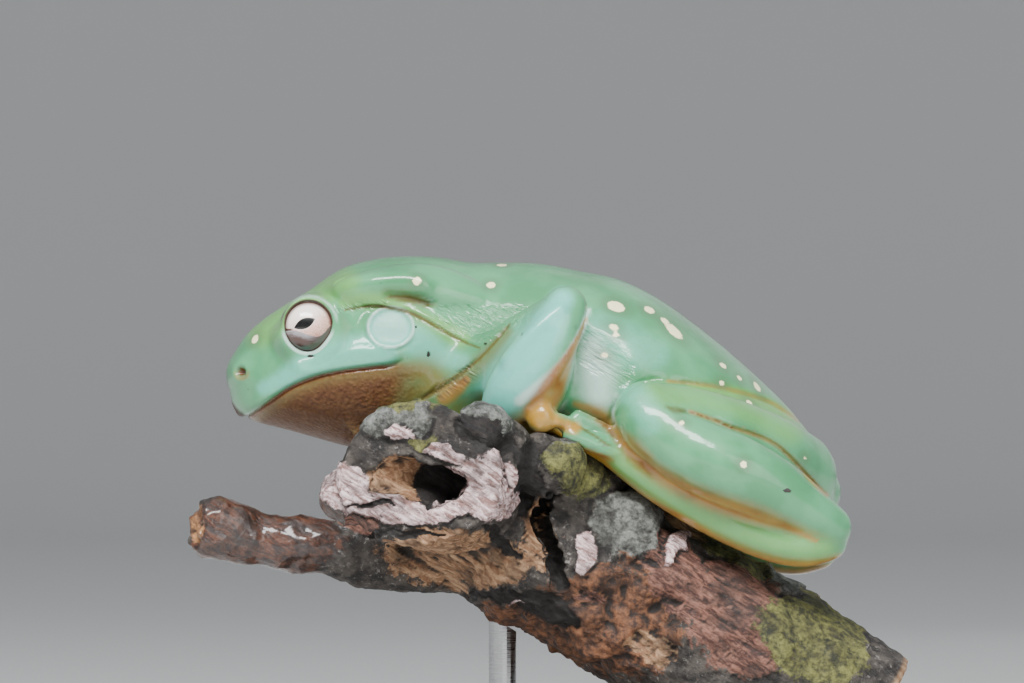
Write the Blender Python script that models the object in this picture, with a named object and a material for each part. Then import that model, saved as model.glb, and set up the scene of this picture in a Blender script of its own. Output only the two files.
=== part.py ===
"""Magnificent tree frog, life size, resting on a cut length of branch held by a display stand.

Sizes below are in millimetres, and the meshes are in metres. The frog looks along -X, its left
side is towards -Y, and +Z is up. The origin is the middle of the stand's underside.
"""

import math

import bmesh
import bpy
from mathutils import Matrix, Vector, noise

MM = 0.001
GAP = 0.3  # clearance between neighbouring pieces

# Driving sizes of the frog
SNOUT_VENT = 98.0
BODY_WIDTH = 45.2
EYE_RADIUS = 4.5
TYMPANUM_RADIUS = 3.45
DIGIT_RADIUS = 1.1
DISC_RADIUS = 2.1
DISC_HALF_THICKNESS = 0.95

# Where the frog sits: the snout's tip along X, and the height that the section table counts from
SNOUT_X = -57.8
SEAT_Z = 62.0

# Trunk and head cut across: distance behind the snout, heights of the back, of the widest level
# and of the belly over the seat, and width as a share of the body's width
BODY_SECTIONS = (
    (0.0, 15.4, 15.1, 14.8, 0.012),
    (0.3, 18.0, 15.2, 12.9, 0.160),
    (1.0, 20.9, 15.4, 12.0, 0.280),
    (2.6, 24.1, 15.9, 11.1, 0.395),
    (5.4, 26.8, 16.7, 10.2, 0.510),
    (9.1, 29.3, 17.6, 9.3, 0.610),
    (13.1, 31.7, 18.5, 8.2, 0.690),
    (16.3, 34.0, 19.2, 7.3, 0.752),
    (19.5, 35.6, 19.9, 6.5, 0.798),
    (24.3, 36.7, 20.6, 6.0, 0.842),
    (29.1, 37.1, 20.9, 6.0, 0.854),
    (33.9, 36.8, 20.3, 6.6, 0.844),
    (38.7, 36.0, 19.2, 7.4, 0.838),
    (43.5, 36.0, 18.1, 8.0, 0.860),
    (49.9, 35.8, 17.3, 7.9, 0.920),
    (56.3, 34.6, 16.2, 4.9, 0.972),
    (62.7, 33.2, 14.6, 1.2, 1.000),
    (69.1, 30.0, 12.1, -2.0, 0.985),
    (75.5, 25.4, 9.0, -4.9, 0.915),
    (81.9, 20.1, 5.5, -7.3, 0.785),
    (88.3, 14.1, 1.8, -8.8, 0.610),
    (91.5, 10.4, 0.3, -8.7, 0.505),
    (94.7, 6.3, -0.6, -7.4, 0.365),
    (96.6, 3.2, -0.7, -5.2, 0.235),
    (97.7, 0.6, -0.4, -2.0, 0.100),
    (98.0, -0.2, -0.3, -0.4, 0.010),
)
BACK_POWER = 2.35  # roundness of a section over its widest level, where 2 is an ellipse
BELLY_POWER = 2.25

# Parting cut between head and torso: where it crosses the top, and how far it leans forward
NECK_X = -19.0
NECK_TOP_Z = 98.0
NECK_LEAN = 0.30

# Limbs of the left side: x, y, z of the middle, radius across the side, radius in profile
UPPER_ARM = (
    (-23.4, -13.2, 77.0, 5.2, 5.4),
    (-18.2, -17.4, 80.2, 4.8, 5.2),
    (-13.6, -20.4, 83.2, 4.2, 4.6),
    (-9.0, -22.6, 86.6, 3.9, 4.2),
    (-5.6, -23.6, 89.2, 3.6, 3.8),
)
FOREARM = (
    (-4.0, -25.4, 90.9, 3.4, 3.7),
    (-5.9, -26.6, 87.0, 4.0, 4.5),
    (-8.8, -26.8, 82.1, 4.3, 5.0),
    (-12.2, -25.4, 77.3, 4.0, 4.7),
    (-14.6, -22.8, 72.9, 3.1, 3.4),
)
THIGH = (
    (31.5, -7.5, 63.0, 7.4, 8.4),
    (27.2, -14.6, 66.2, 7.2, 7.9),
    (20.8, -20.2, 69.6, 6.8, 7.1),
    (14.4, -23.6, 72.2, 6.0, 6.3),
    (9.6, -25.2, 73.5, 5.2, 5.6),
)
SHANK = (
    (9.6, -27.2, 72.7, 5.0, 5.4),
    (16.0, -28.8, 67.9, 5.4, 5.7),
    (22.4, -28.8, 65.0, 5.4, 5.8),
    (28.8, -27.2, 61.8, 4.6, 4.8),
    (35.2, -24.8, 57.9, 3.5, 3.5),
    (39.2, -22.8, 55.2, 3.5, 3.6),
)
FOOT = (
    (39.6, -21.6, 53.3, 3.0, 3.3),
    (34.4, -21.4, 51.9, 3.1, 2.9),
    (27.2, -20.8, 53.3, 3.3, 3.0),
    (19.2, -20.0, 57.2, 3.9, 3.0),
    (11.2, -19.4, 61.9, 4.6, 2.7),
    (4.8, -19.2, 66.2, 4.6, 2.0),
    (0.6, -19.2, 68.6, 4.0, 1.1),
)
PALM = (
    (-15.2, -21.8, 71.4, 3.0, 2.6),
    (-18.4, -19.0, 69.6, 3.7, 2.0),
    (-21.6, -17.4, 69.0, 3.6, 1.4),
)

# Digits of the left side: x, y, z of the root, then of the tip of the disc
FINGERS = (
    (-17.2, -17.4, 69.4, -20.8, -12.8, 69.2),
    (-20.6, -16.4, 69.0, -28.8, -13.6, 67.4),
    (-21.2, -17.8, 68.9, -31.4, -18.4, 67.2),
    (-20.4, -19.6, 68.9, -28.6, -22.0, 67.9),
)
TOES = (
    (14.6, -16.8, 60.0, 7.2, -16.4, 64.6),
    (9.4, -17.0, 63.4, 1.0, -17.6, 68.6),
    (5.0, -17.6, 66.2, -4.6, -18.4, 71.6),
    (4.4, -19.4, 66.4, -8.8, -20.6, 72.6),
    (5.0, -21.2, 65.8, -4.2, -23.2, 70.2),
)
FAR_LEG_DROP = 2.4  # the right foot lies lower on the branch than the left one

# Head details on the left side, as x and z in profile
EYE = (-44.8, 87.8)
EYE_Y = 12.3
EYE_LOOK = (-0.14, -1.0, 0.12)
LID_REACH = 2.2  # from the middle of the eye out to the rim of the lids
LID_RADIUS = 4.3
LID_THICKNESS = 1.05
BROW = (6.6, 5.6, 6.1)
BROW_Y = 9.2
NOSTRIL = (-55.4, 80.7)
NOSTRIL_MOUND = (1.9, 1.3, 1.7)
NOSTRIL_PIT = 0.55
TYMPANUM = (-31.8, 87.6)
TYMPANUM_DOME = 0.8
EAR_RING_THICKNESS = 0.6
MOUTH_LINE = (
    (-55.5, 73.35),
    (-55.0, 73.5),
    (-53.4, 74.4),
    (-51.2, 75.6),
    (-46.6, 78.2),
    (-41.6, 80.0),
    (-36.6, 80.8),
    (-32.4, 81.3),
    (-30.4, 81.9),
    (-29.2, 82.8),
)
MOUTH_DEPTH = 1.0
MOUTH_HALF_WIDTH = 0.28
LIP_RISE = 1.15
LIP_RADIUS = 1.0

# Parotoid gland above the ear, and the fold of skin under it: as the limbs are given
GLAND = (
    (-39.4, -11.2, 92.0, 2.2, 2.2),
    (-36.0, -12.6, 92.8, 4.6, 3.4),
    (-30.4, -12.9, 93.3, 5.8, 4.4),
    (-24.4, -12.6, 92.8, 5.6, 4.6),
    (-18.6, -12.4, 91.2, 4.4, 3.6),
    (-14.2, -12.6, 89.6, 2.4, 2.2),
)
EAR_FOLD = (
    (-41.0, -14.2, 90.9, 0.8, 0.6),
    (-38.0, -15.8, 91.5, 1.2, 0.8),
    (-34.6, -16.9, 92.0, 1.4, 1.0),
    (-31.2, -17.6, 91.8, 1.5, 1.1),
    (-27.6, -17.8, 90.6, 1.6, 1.2),
    (-24.2, -17.7, 88.8, 1.6, 1.2),
    (-20.8, -17.6, 86.8, 1.5, 1.1),
    (-17.8, -17.4, 85.1, 1.1, 0.8),
)

# Branch, snag and stub: x, y, z of the middle, half depth, half height. Each burl is a swelling
# of the branch, under the near foot, under the far hand and beside the stub: its middle and radii
LIMB = (
    (-38.0, -2.0, 61.6, 3.4, 3.0),
    (-35.0, -2.0, 61.0, 9.0, 6.0),
    (-30.4, -1.6, 59.4, 14.0, 8.0),
    (-24.0, -1.2, 57.6, 18.0, 10.4),
    (-16.5, -1.0, 56.4, 21.6, 12.8),
    (-11.0, -1.0, 54.6, 23.6, 14.2),
    (-5.0, -1.0, 51.5, 24.4, 14.5),
    (2.5, -1.0, 47.4, 24.6, 14.5),
    (10.4, -1.0, 42.9, 24.4, 14.4),
    (18.4, -1.0, 38.3, 24.2, 14.3),
    (26.4, -1.0, 33.6, 23.8, 14.2),
    (34.4, -1.0, 28.6, 23.4, 14.0),
    (43.4, -1.0, 22.9, 23.0, 13.8),
)
LIMB_POWER = 2.9
SNAG = (
    (-20.0, -8.0, 51.4, 6.4, 6.2),
    (-33.6, -10.0, 51.2, 5.0, 5.1),
    (-46.4, -12.6, 53.4, 4.2, 4.7),
    (-54.0, -14.2, 54.2, 4.1, 4.6),
    (-60.4, -15.6, 55.8, 4.6, 5.4),
)
STUB = (
    (-20.0, -12.0, 58.0, 11.4, 8.4),
    (-22.6, -22.4, 59.4, 11.8, 8.0),
    (-24.2, -28.0, 61.8, 12.0, 9.4),
    (-26.2, -33.0, 63.8, 13.0, 11.0),
    (-26.8, -38.0, 64.4, 12.4, 10.8),
)
BURLS = (
    (-4.0, -15.5, 60.6, 10.0, 8.5, 8.6),
    (-19.0, 13.0, 57.4, 14.5, 11.5, 9.4),
    (-36.8, -29.0, 61.0, 6.4, 5.2, 4.6),
)
STUB_MOUTH = (-27.6, -39.4, 63.4)
STUB_HOLLOW = (5.4, 8.0, 4.2)
BARK_RELIEF = 0.9
BARK_GRAIN = 9.0

# Display stand
BASE_LENGTH = 98.0
BASE_DEPTH = 62.0
BASE_THICKNESS = 6.0
BASE_CORNER = 14.0
BASE_EDGE = 1.2
ROD_RADIUS = 2.2
ROD_X = {"front": -14.0, "rear": 27.0}
ROD_Y = -1.0
ROD_TOP = 50.0  # before the branch cuts it back
ROD_SIDES = 20

FINISHES = {
    "skin": ((0.20, 0.42, 0.22), 0.25, 0.0),
    "eye": ((0.62, 0.46, 0.38), 0.08, 0.0),
    "bark": ((0.16, 0.10, 0.07), 0.85, 0.0),
    "base": ((0.055, 0.045, 0.04), 0.45, 0.0),
    "rod": ((0.55, 0.55, 0.56), 0.3, 1.0),
}
SIDES = {"left": -1, "right": 1}


def material(name):
    """The plain finish of one kind of surface, made once."""
    made = bpy.data.materials.get(name)
    if made is None:
        colour, roughness, metallic = FINISHES[name]
        made = bpy.data.materials.new(name)
        made.use_nodes = True
        shader = made.node_tree.nodes["Principled BSDF"]
        shader.inputs["Base Color"].default_value = (*colour, 1.0)
        shader.inputs["Roughness"].default_value = roughness
        shader.inputs["Metallic"].default_value = metallic
    return made


def collection(name):
    """A collection of the scene, made once."""
    made = bpy.data.collections.get(name)
    if made is None:
        made = bpy.data.collections.new(name)
        bpy.context.scene.collection.children.link(made)
    return made


def add_object(name, bm, finish):
    """Turns a bmesh in millimetres into an object, faces out and shaded smooth."""
    bmesh.ops.remove_doubles(bm, verts=bm.verts, dist=0.001)
    bmesh.ops.recalc_face_normals(bm, faces=bm.faces)
    bmesh.ops.transform(bm, matrix=Matrix.Scale(MM, 4), verts=bm.verts)
    mesh = bpy.data.meshes.new(name)
    bm.to_mesh(mesh)
    bm.free()
    mesh.materials.append(material(finish))
    mesh.shade_smooth()
    mesh.set_sharp_from_angle(angle=math.radians(50))
    made = bpy.data.objects.new(name, mesh)
    collection("tree_frog_on_perch").objects.link(made)
    return made


def smooth_row(rows, t):
    """The row of numbers at t, from 0 to 1, on a smooth curve through the given rows."""
    last = len(rows) - 1
    at = min(max(t, 0.0), 1.0) * last
    i = min(int(at), last - 1)
    f = at - i
    before, start, end, after = (rows[min(max(i + k, 0), last)] for k in (-1, 0, 1, 2))
    made = []
    for a, b, c, d in zip(before, start, end, after):
        bend = 2 * a - 5 * b + 4 * c - d
        twist = 3 * (b - c) + d - a
        made.append(0.5 * (2 * b + (c - a) * f + bend * f**2 + twist * f**3))
    return made


def signed_root(value, power):
    """The sine or cosine of a section with the given roundness."""
    return math.copysign(abs(value) ** (2.0 / power), value)


def loft(name, rings, finish):
    """Skins rings of points into one closed form, pinched shut at both ends."""
    columns = len(rings[0])
    first = sum(rings[0], Vector()) / columns
    last = sum(rings[-1], Vector()) / columns
    rows = [[first] * columns, *rings, [last] * columns]
    bm = bmesh.new()
    grid = bmesh.ops.create_grid(bm, x_segments=columns, y_segments=len(rows) - 1, size=1.0)
    for index, vert in enumerate(grid["verts"]):
        row, column = divmod(index, columns + 1)
        vert.co = rows[row][column % columns]
    return add_object(name, bm, finish)


def frame_along(ahead, side_axis):
    """The directions across and above a path, squared to its direction."""
    across = (side_axis - ahead * ahead.dot(side_axis)).normalized()
    return across, ahead.cross(across)


def section(middle, across, above, wide, high, sides, power=2.0):
    """One ring of points about a middle."""
    ring = []
    for n in range(sides):
        turn = 2 * math.pi * n / sides
        side = wide * signed_root(math.cos(turn), power)
        height = high * signed_root(math.sin(turn), power)
        ring.append(middle + across * side + above * height)
    return ring


def tube_rings(stations, steps, sides, power=2.0, side_axis=(0, 1, 0), ends=(True, True)):
    """Rings along a bent form, with round ends where asked for."""
    rows = [smooth_row(stations, k / (steps - 1)) for k in range(steps)]
    middles = [Vector(row[:3]) for row in rows]
    rings = []
    for k, row in enumerate(rows):
        ahead = (middles[min(k + 1, steps - 1)] - middles[max(k - 1, 0)]).normalized()
        across, above = frame_along(ahead, Vector(side_axis))
        turns = [0.0]
        if k == 0 and ends[0]:
            turns = [-68.0, -38.0, 0.0]
        if k == steps - 1 and ends[1]:
            turns = [0.0, 38.0, 68.0]
        for degrees in turns:
            turn = math.radians(degrees)
            middle = middles[k] + ahead * math.sin(turn) * min(row[3], row[4])
            wide, high = (radius * math.cos(turn) for radius in row[3:5])
            rings.append(section(middle, across, above, wide, high, sides, power))
    return rings


def on_side(point, side):
    """A point or direction given for the left side, moved to the side asked for."""
    return Vector((point[0], -side * point[1], point[2]))


def stations_on(side, stations, drop=0.0):
    """Stations given for the left side, moved to the side asked for, the last one lower."""
    last = len(stations) - 1
    made = []
    for k, row in enumerate(stations):
        fall = drop * k / last if side > 0 else 0.0
        made.append((row[0], -side * row[1], row[2] - fall, *row[3:]))
    return made


def body_section(x):
    """Heights of back, widest level and belly, and half width, at one place along the body."""
    low, high = 0.0, 1.0
    target = (x - SNOUT_X) * 98.0 / SNOUT_VENT
    for _ in range(30):
        middle = (low + high) / 2
        if smooth_row(BODY_SECTIONS, middle)[0] < target:
            low = middle
        else:
            high = middle
    _, back, wide, belly, share = smooth_row(BODY_SECTIONS, low)
    return SEAT_Z + back, SEAT_Z + wide, SEAT_Z + belly, BODY_WIDTH / 2 * share


def surface_y(x, z):
    """How far out the body's side is at this place in profile."""
    back, wide, belly, half = body_section(x)
    power = BACK_POWER if z > wide else BELLY_POWER
    reach = back - wide if z > wide else wide - belly
    rise = min(abs(z - wide) / max(reach, 0.01), 1.0)
    return half * (1.0 - rise**power) ** (1.0 / power)


def surface_point(place, side):
    """The point on the body's side at this place in profile, and the direction outward."""
    x, z = place
    step = 0.4
    y = surface_y(x, z)
    slope_x = (surface_y(x + step, z) - surface_y(x - step, z)) / (2 * step)
    slope_z = (surface_y(x, z + step) - surface_y(x, z - step)) / (2 * step)
    return Vector((x, side * y, z)), Vector((-slope_x, side, -slope_z)).normalized()


def body(steps=44, sides=32):
    """Head and trunk as one smooth form."""
    rings = []
    for k in range(steps):
        behind, back, wide, belly, share = smooth_row(BODY_SECTIONS, k / (steps - 1))
        x = SNOUT_X + behind * SNOUT_VENT / 98.0
        half = BODY_WIDTH / 2 * share
        ring = []
        for n in range(sides):
            turn = 2 * math.pi * n / sides
            over = math.sin(turn) > 0
            power = BACK_POWER if over else BELLY_POWER
            reach = back - wide if over else wide - belly
            y = half * signed_root(math.cos(turn), power)
            z = SEAT_Z + wide + reach * signed_root(math.sin(turn), power)
            ring.append(Vector((x, y, z)))
        rings.append(ring)
    return loft("body", rings, "skin")


def limb_form(name, stations, side, steps, sides, drop=0.0):
    """One length of a leg."""
    placed = stations_on(side, stations, drop)
    return loft(name, tube_rings(placed, steps, sides), "skin")


def digit(root, tip, sides=6):
    """A finger or toe with a round, flattened disc at its end."""
    ahead = (tip - root).normalized()
    across, above = frame_along(ahead, Vector((0, 1, 0)))
    shaft = (tip - root).length - 2 * DISC_RADIUS
    rows = [(0.0, 1.1, 1.1), (shaft, 1.0, 0.9)]
    rings = [
        section(root + ahead * along, across, above, DIGIT_RADIUS * wide, DIGIT_RADIUS * high, sides)
        for along, wide, high in rows
    ]
    for degrees in (-45, -10, 30, 62):
        turn = math.radians(degrees)
        middle = tip + ahead * DISC_RADIUS * (math.sin(turn) - 1)
        wide, high = DISC_RADIUS * math.cos(turn), DISC_HALF_THICKNESS * math.cos(turn)
        rings.append(section(middle, across, above, wide, max(high, 0.4), sides))
    return loft("digit", rings, "skin")


def digits(table, side, drop=0.0):
    """All fingers or toes of one side, lowered by drop."""
    fall = Vector((0, 0, drop))
    return [digit(on_side(row[:3], side) - fall, on_side(row[3:], side) - fall) for row in table]


def ball(name, middle, radii, finish, segments, rings):
    """An ellipsoid about a middle."""
    bm = bmesh.new()
    bmesh.ops.create_uvsphere(bm, u_segments=segments, v_segments=rings, radius=1.0)
    bmesh.ops.scale(bm, vec=Vector(radii), verts=bm.verts)
    bmesh.ops.translate(bm, vec=Vector(middle), verts=bm.verts)
    return add_object(name, bm, finish)


def dome(name, middle, outward, radius, height, finish, segments=16, rings=6):
    """A flattened ball whose short axis points outward."""
    bm = bmesh.new()
    bmesh.ops.create_uvsphere(bm, u_segments=segments, v_segments=rings, radius=1.0)
    bmesh.ops.scale(bm, vec=Vector((radius, radius, height)), verts=bm.verts)
    turn = Vector((0, 0, 1)).rotation_difference(outward).to_matrix()
    bmesh.ops.rotate(bm, matrix=turn, verts=bm.verts)
    bmesh.ops.translate(bm, vec=middle, verts=bm.verts)
    return add_object(name, bm, finish)


def bead(name, middle, outward, radius, thickness, segments=20, sides=6):
    """A round bead that runs once about an axis pointing outward."""
    first = outward.orthogonal().normalized()
    second = outward.cross(first)
    bm = bmesh.new()
    grid = bmesh.ops.create_grid(bm, x_segments=sides, y_segments=segments, size=1.0)
    for index, vert in enumerate(grid["verts"]):
        row, column = divmod(index, sides + 1)
        turn = 2 * math.pi * (row % segments) / segments
        bend = 2 * math.pi * (column % sides) / sides
        arm = first * math.cos(turn) + second * math.sin(turn)
        rise = outward * thickness * math.sin(bend)
        vert.co = middle + arm * (radius + thickness * math.cos(bend)) + rise
    return add_object(name, bm, "skin")


def mouth_path(rise=0.0, steps=12):
    """Points round the snout along the mouth, from the left corner to the right one."""
    half = []
    for k in range(steps):
        x, z = smooth_row(MOUTH_LINE, 1 - k / (steps - 1))
        half.append(Vector((x, -surface_y(x, z + rise), z + rise)))
    return half + [Vector((p.x, -p.y, p.z)) for p in reversed(half[:-1])]


def plan_normals(path):
    """Outward directions, level with the ground, along a path round the snout."""
    made = []
    for k in range(len(path)):
        along = path[min(k + 1, len(path) - 1)] - path[max(k - 1, 0)]
        made.append(Vector((-abs(along.y), along.x, 0)).normalized())
    return made


def mouth_slit():
    """A wedge along the mouth, which cuts the line between the lips."""
    path = mouth_path()
    up = Vector((0, 0, 1))
    rings = []
    for point, outward in zip(path, plan_normals(path)):
        outer, inner = point + outward * 2.5, point - outward * MOUTH_DEPTH
        wide, narrow = up * MOUTH_HALF_WIDTH * 2, up * MOUTH_HALF_WIDTH * 0.5
        rings.append([outer + wide, inner + narrow, inner - narrow, outer - wide])
    return loft("mouth_slit", rings, "skin")


def upper_lip():
    """The rounded lip above the line of the mouth."""
    path = mouth_path(LIP_RISE)
    rings = []
    last = len(path) - 1
    for k, (point, outward) in enumerate(zip(path, plan_normals(path))):
        size = LIP_RADIUS * (0.45 + 0.55 * min(1.0, 6.0 * min(k, last - k) / last))
        middle = point - outward * size * 0.62
        rings.append(section(middle, outward, Vector((0, 0, 1)), size, size * 0.9, 6))
    return loft("upper_lip", rings, "skin")


def eye_middle(side):
    """The middle of the eyeball."""
    return Vector((EYE[0], side * EYE_Y, EYE[1]))


def eyeball(name, side):
    """The ball of the eye."""
    return ball(name, eye_middle(side), [EYE_RADIUS] * 3, "eye", 18, 10)


def tympanum(name, side):
    """The round ear drum, slightly domed."""
    middle, outward = surface_point(TYMPANUM, side)
    return dome(name, middle, outward, TYMPANUM_RADIUS - 0.5, TYMPANUM_DOME, "skin")


def head_forms(side):
    """What stands out on one side of the head."""
    look = on_side(EYE_LOOK, side).normalized()
    rim = eye_middle(side) + look * LID_REACH
    ear, ear_out = surface_point(TYMPANUM, side)
    nose, _ = surface_point(NOSTRIL, side)
    forms = [
        bead("lids", rim, look, LID_RADIUS, LID_THICKNESS),
        ball("brow", (EYE[0], side * BROW_Y, EYE[1]), BROW, "skin", 16, 10),
        bead("ear_ring", ear, ear_out, TYMPANUM_RADIUS, EAR_RING_THICKNESS, 18, 5),
        ball("nostril_mound", nose, NOSTRIL_MOUND, "skin", 10, 6),
    ]
    forms.append(limb_form("gland", GLAND, side, 9, 12))
    forms.append(limb_form("ear_fold", EAR_FOLD, side, 10, 6))
    return forms


def nostril_pit(side):
    """The small hole of the nostril, cut into its mound."""
    nose, outward = surface_point(NOSTRIL, side)
    middle = nose + outward * NOSTRIL_MOUND[1]
    return ball("nostril_pit", middle, [NOSTRIL_PIT] * 3, "skin", 6, 4)


def keep_largest(mesh):
    """Drops every closed surface but the largest, so that a node is one body."""
    bm = bmesh.new()
    bm.from_mesh(mesh)
    left = set(bm.verts)
    groups = []
    while left:
        group = [left.pop()]
        for vert in group:
            for edge in vert.link_edges:
                other = edge.other_vert(vert)
                if other in left:
                    left.remove(other)
                    group.append(other)
        groups.append(group)
    groups.sort(key=len)
    spare = [vert for group in groups[:-1] for vert in group]
    if spare:
        bmesh.ops.delete(bm, geom=spare, context="VERTS")
    bmesh.ops.dissolve_degenerate(bm, dist=1e-6, edges=bm.edges)
    bmesh.ops.triangulate(bm, faces=bm.faces)
    bm.to_mesh(mesh)
    bm.free()


def combine(target, others, operation):
    """Joins the others to the target, or cuts them from it, and removes them."""
    group = collection("cutters")
    for other in others:
        for old in list(other.users_collection):
            old.objects.unlink(other)
        group.objects.link(other)
        other.hide_render = True
        other.display_type = "WIRE"
    modifier = target.modifiers.new("combine", "BOOLEAN")
    modifier.operation = operation
    modifier.operand_type = "COLLECTION"
    modifier.collection = group
    modifier.solver = "EXACT"
    graph = bpy.context.evaluated_depsgraph_get()
    graph.update()
    made = bpy.data.meshes.new_from_object(target.evaluated_get(graph), depsgraph=graph)
    keep_largest(made)
    target.modifiers.clear()
    target.data = made
    for other in others:
        bpy.data.objects.remove(other)
    return target


def swell(form, by=GAP):
    """Grows a form by a distance all round, for cutting its neighbours clear of it."""
    bm = bmesh.new()
    bm.from_mesh(form.data)
    moves = [(vert, vert.normal * vert.calc_shell_factor() * by * MM) for vert in bm.verts]
    for vert, move in moves:
        vert.co += move
    bm.to_mesh(form.data)
    bm.free()
    return form


def part_at_neck(whole, keep_front):
    """The part of the body before or behind the neck's slanting cut."""
    bm = bmesh.new()
    bm.from_mesh(whole.data)
    forward = Vector((-1, 0, NECK_LEAN)).normalized()
    outward = forward if keep_front else -forward
    point = Vector((NECK_X, 0, NECK_TOP_Z)) + outward * GAP / 2
    everything = [*bm.verts, *bm.edges, *bm.faces]
    cut = bmesh.ops.bisect_plane(
        bm, geom=everything, plane_co=point * MM, plane_no=outward, clear_inner=True
    )
    rim = [item for item in cut["geom_cut"] if isinstance(item, bmesh.types.BMEdge)]
    bmesh.ops.holes_fill(bm, edges=rim)
    bmesh.ops.triangulate(bm, faces=bm.faces)
    bmesh.ops.transform(bm, matrix=Matrix.Scale(1 / MM, 4), verts=bm.verts)
    return add_object("head" if keep_front else "torso", bm, "skin")


def perch_forms():
    """The branch with its stub on the near side, the snag at its left and the burls, all rough."""
    limb = loft("limb", tube_rings(LIMB, 24, 26, LIMB_POWER, ends=(True, False)), "bark")
    stub = loft("stub", tube_rings(STUB, 8, 18, side_axis=(1, 0, 0), ends=(True, False)), "bark")
    snag = loft("snag", tube_rings(SNAG, 11, 10), "bark")
    burls = [ball("burl", row[:3], row[3:], "bark", 14, 9) for row in BURLS]
    return [roughen(form) for form in (limb, stub, snag, *burls)]


def roughen(form):
    """Moves a form's surface in and out as coarse bark does, but leaves a sawn end flat."""
    bm = bmesh.new()
    bm.from_mesh(form.data)
    sawn = Vector(LIMB[-1][:3]) * MM
    saw_line = (Vector(LIMB[-1][:3]) - Vector(LIMB[-2][:3])).normalized()
    moves = []
    for vert in bm.verts:
        if (vert.co - sawn).dot(saw_line) > -0.5 * MM:
            continue
        place = vert.co / (BARK_GRAIN * MM)
        moves.append((vert, vert.normal * noise.noise(place) * 1.6 * BARK_RELIEF * MM))
    for vert, move in moves:
        vert.co += move
    bm.to_mesh(form.data)
    bm.free()
    return form


def perch():
    """The branch in one piece, its stub hollow."""
    limb, *others = perch_forms()
    limb.name = "perch"
    combine(limb, others, "UNION")
    hollow = ball("hollow", STUB_MOUTH, STUB_HOLLOW, "bark", 14, 10)
    return combine(limb, [roughen(hollow)], "DIFFERENCE")


def body_forms(with_details=True):
    """The body's forms, for cutting its neighbours."""
    forms = [body()]
    if with_details:
        for side in SIDES.values():
            forms.append(limb_form("gland", GLAND, side, 9, 12))
            forms.append(limb_form("ear_fold", EAR_FOLD, side, 10, 6))
    return forms


def cut_clear(target, forms):
    """Cuts the target back from its neighbours by the gap."""
    return combine(target, [swell(form) for form in forms], "DIFFERENCE")


def head_and_torso():
    """Head and trunk modelled whole, dressed with the head's features, and parted at the neck."""
    whole = body()
    forms = [form for side in SIDES.values() for form in head_forms(side)]
    combine(whole, [upper_lip(), *forms], "UNION")
    cutters = [mouth_slit()]
    for side in SIDES.values():
        cutters += [swell(eyeball("socket", side)), swell(tympanum("ear_seat", side))]
        cutters.append(nostril_pit(side))
    combine(whole, cutters, "DIFFERENCE")
    cut_clear(whole, perch_forms())
    head = part_at_neck(whole, True)
    torso = part_at_neck(whole, False)
    bpy.data.objects.remove(whole)
    return head, torso


def arm(word, side):
    """Upper arm, forearm and hand of one side."""
    upper = limb_form("upper_arm_" + word, UPPER_ARM, side, 7, 10)
    cut_clear(upper, body_forms())
    fore = limb_form("forearm_" + word, FOREARM, side, 9, 12)
    cut_clear(fore, [*body_forms(), limb_form("upper", UPPER_ARM, side, 7, 10)])
    hand = limb_form("hand_" + word, PALM, side, 5, 8)
    combine(hand, digits(FINGERS, side), "UNION")
    fore_form = limb_form("fore", FOREARM, side, 9, 12)
    cut_clear(hand, [*body_forms(False), fore_form, *perch_forms()])


def leg(word, side):
    """Thigh, shank and foot of one side."""
    thigh = limb_form("thigh_" + word, THIGH, side, 8, 12)
    cut_clear(thigh, body_forms(False))
    shank = limb_form("shank_" + word, SHANK, side, 11, 12, FAR_LEG_DROP)
    cut_clear(shank, [*body_forms(False), limb_form("upper", THIGH, side, 8, 12)])
    drop = FAR_LEG_DROP if side > 0 else 0.0
    blade = [(x, y, z - drop, wide, high) for x, y, z, wide, high in FOOT]
    foot = limb_form("foot_" + word, blade, side, 12, 10)
    combine(foot, digits(TOES, side, drop), "UNION")
    lower = limb_form("lower", SHANK, side, 11, 12, FAR_LEG_DROP)
    upper = limb_form("upper", THIGH, side, 8, 12)
    cut_clear(foot, [*body_forms(False), upper, lower, *perch_forms()])


def stand_base():
    """A flat plate with round corners and an eased upper edge."""
    bm = bmesh.new()
    bmesh.ops.create_cube(bm, size=1.0)
    bmesh.ops.scale(bm, vec=Vector((BASE_LENGTH, BASE_DEPTH, BASE_THICKNESS)), verts=bm.verts)
    bmesh.ops.translate(bm, vec=Vector((0, 0, BASE_THICKNESS / 2)), verts=bm.verts)
    upright = [edge for edge in bm.edges if edge.verts[0].co.xy == edge.verts[1].co.xy]
    bevel = {"affect": "EDGES", "profile": 0.5, "material": -1}
    bmesh.ops.bevel(bm, geom=upright, offset=BASE_CORNER, segments=7, **bevel)
    top = [edge for edge in bm.edges if all(v.co.z > BASE_THICKNESS - 0.01 for v in edge.verts)]
    bmesh.ops.bevel(bm, geom=top, offset=BASE_EDGE, segments=2, **bevel)
    return add_object("stand_base", bm, "base")


def stand_rod(word):
    """A rod from the plate up to the branch's underside."""
    foot = BASE_THICKNESS + GAP
    bm = bmesh.new()
    bmesh.ops.create_cone(
        bm,
        cap_ends=True,
        segments=ROD_SIDES,
        radius1=ROD_RADIUS,
        radius2=ROD_RADIUS,
        depth=ROD_TOP - foot,
    )
    middle = Vector((ROD_X[word], ROD_Y, (ROD_TOP + foot) / 2))
    bmesh.ops.translate(bm, vec=middle, verts=bm.verts)
    rod = add_object("stand_rod_" + word, bm, "rod")
    return cut_clear(rod, perch_forms())


def main():
    for old in list(bpy.data.objects):
        bpy.data.objects.remove(old)
    head_and_torso()
    for word, side in SIDES.items():
        eyeball("eye_" + word, side)
        tympanum("ear_" + word, side)
        arm(word, side)
        leg(word, side)
    perch()
    stand_base()
    for word in ROD_X:
        stand_rod(word)


main()
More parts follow.
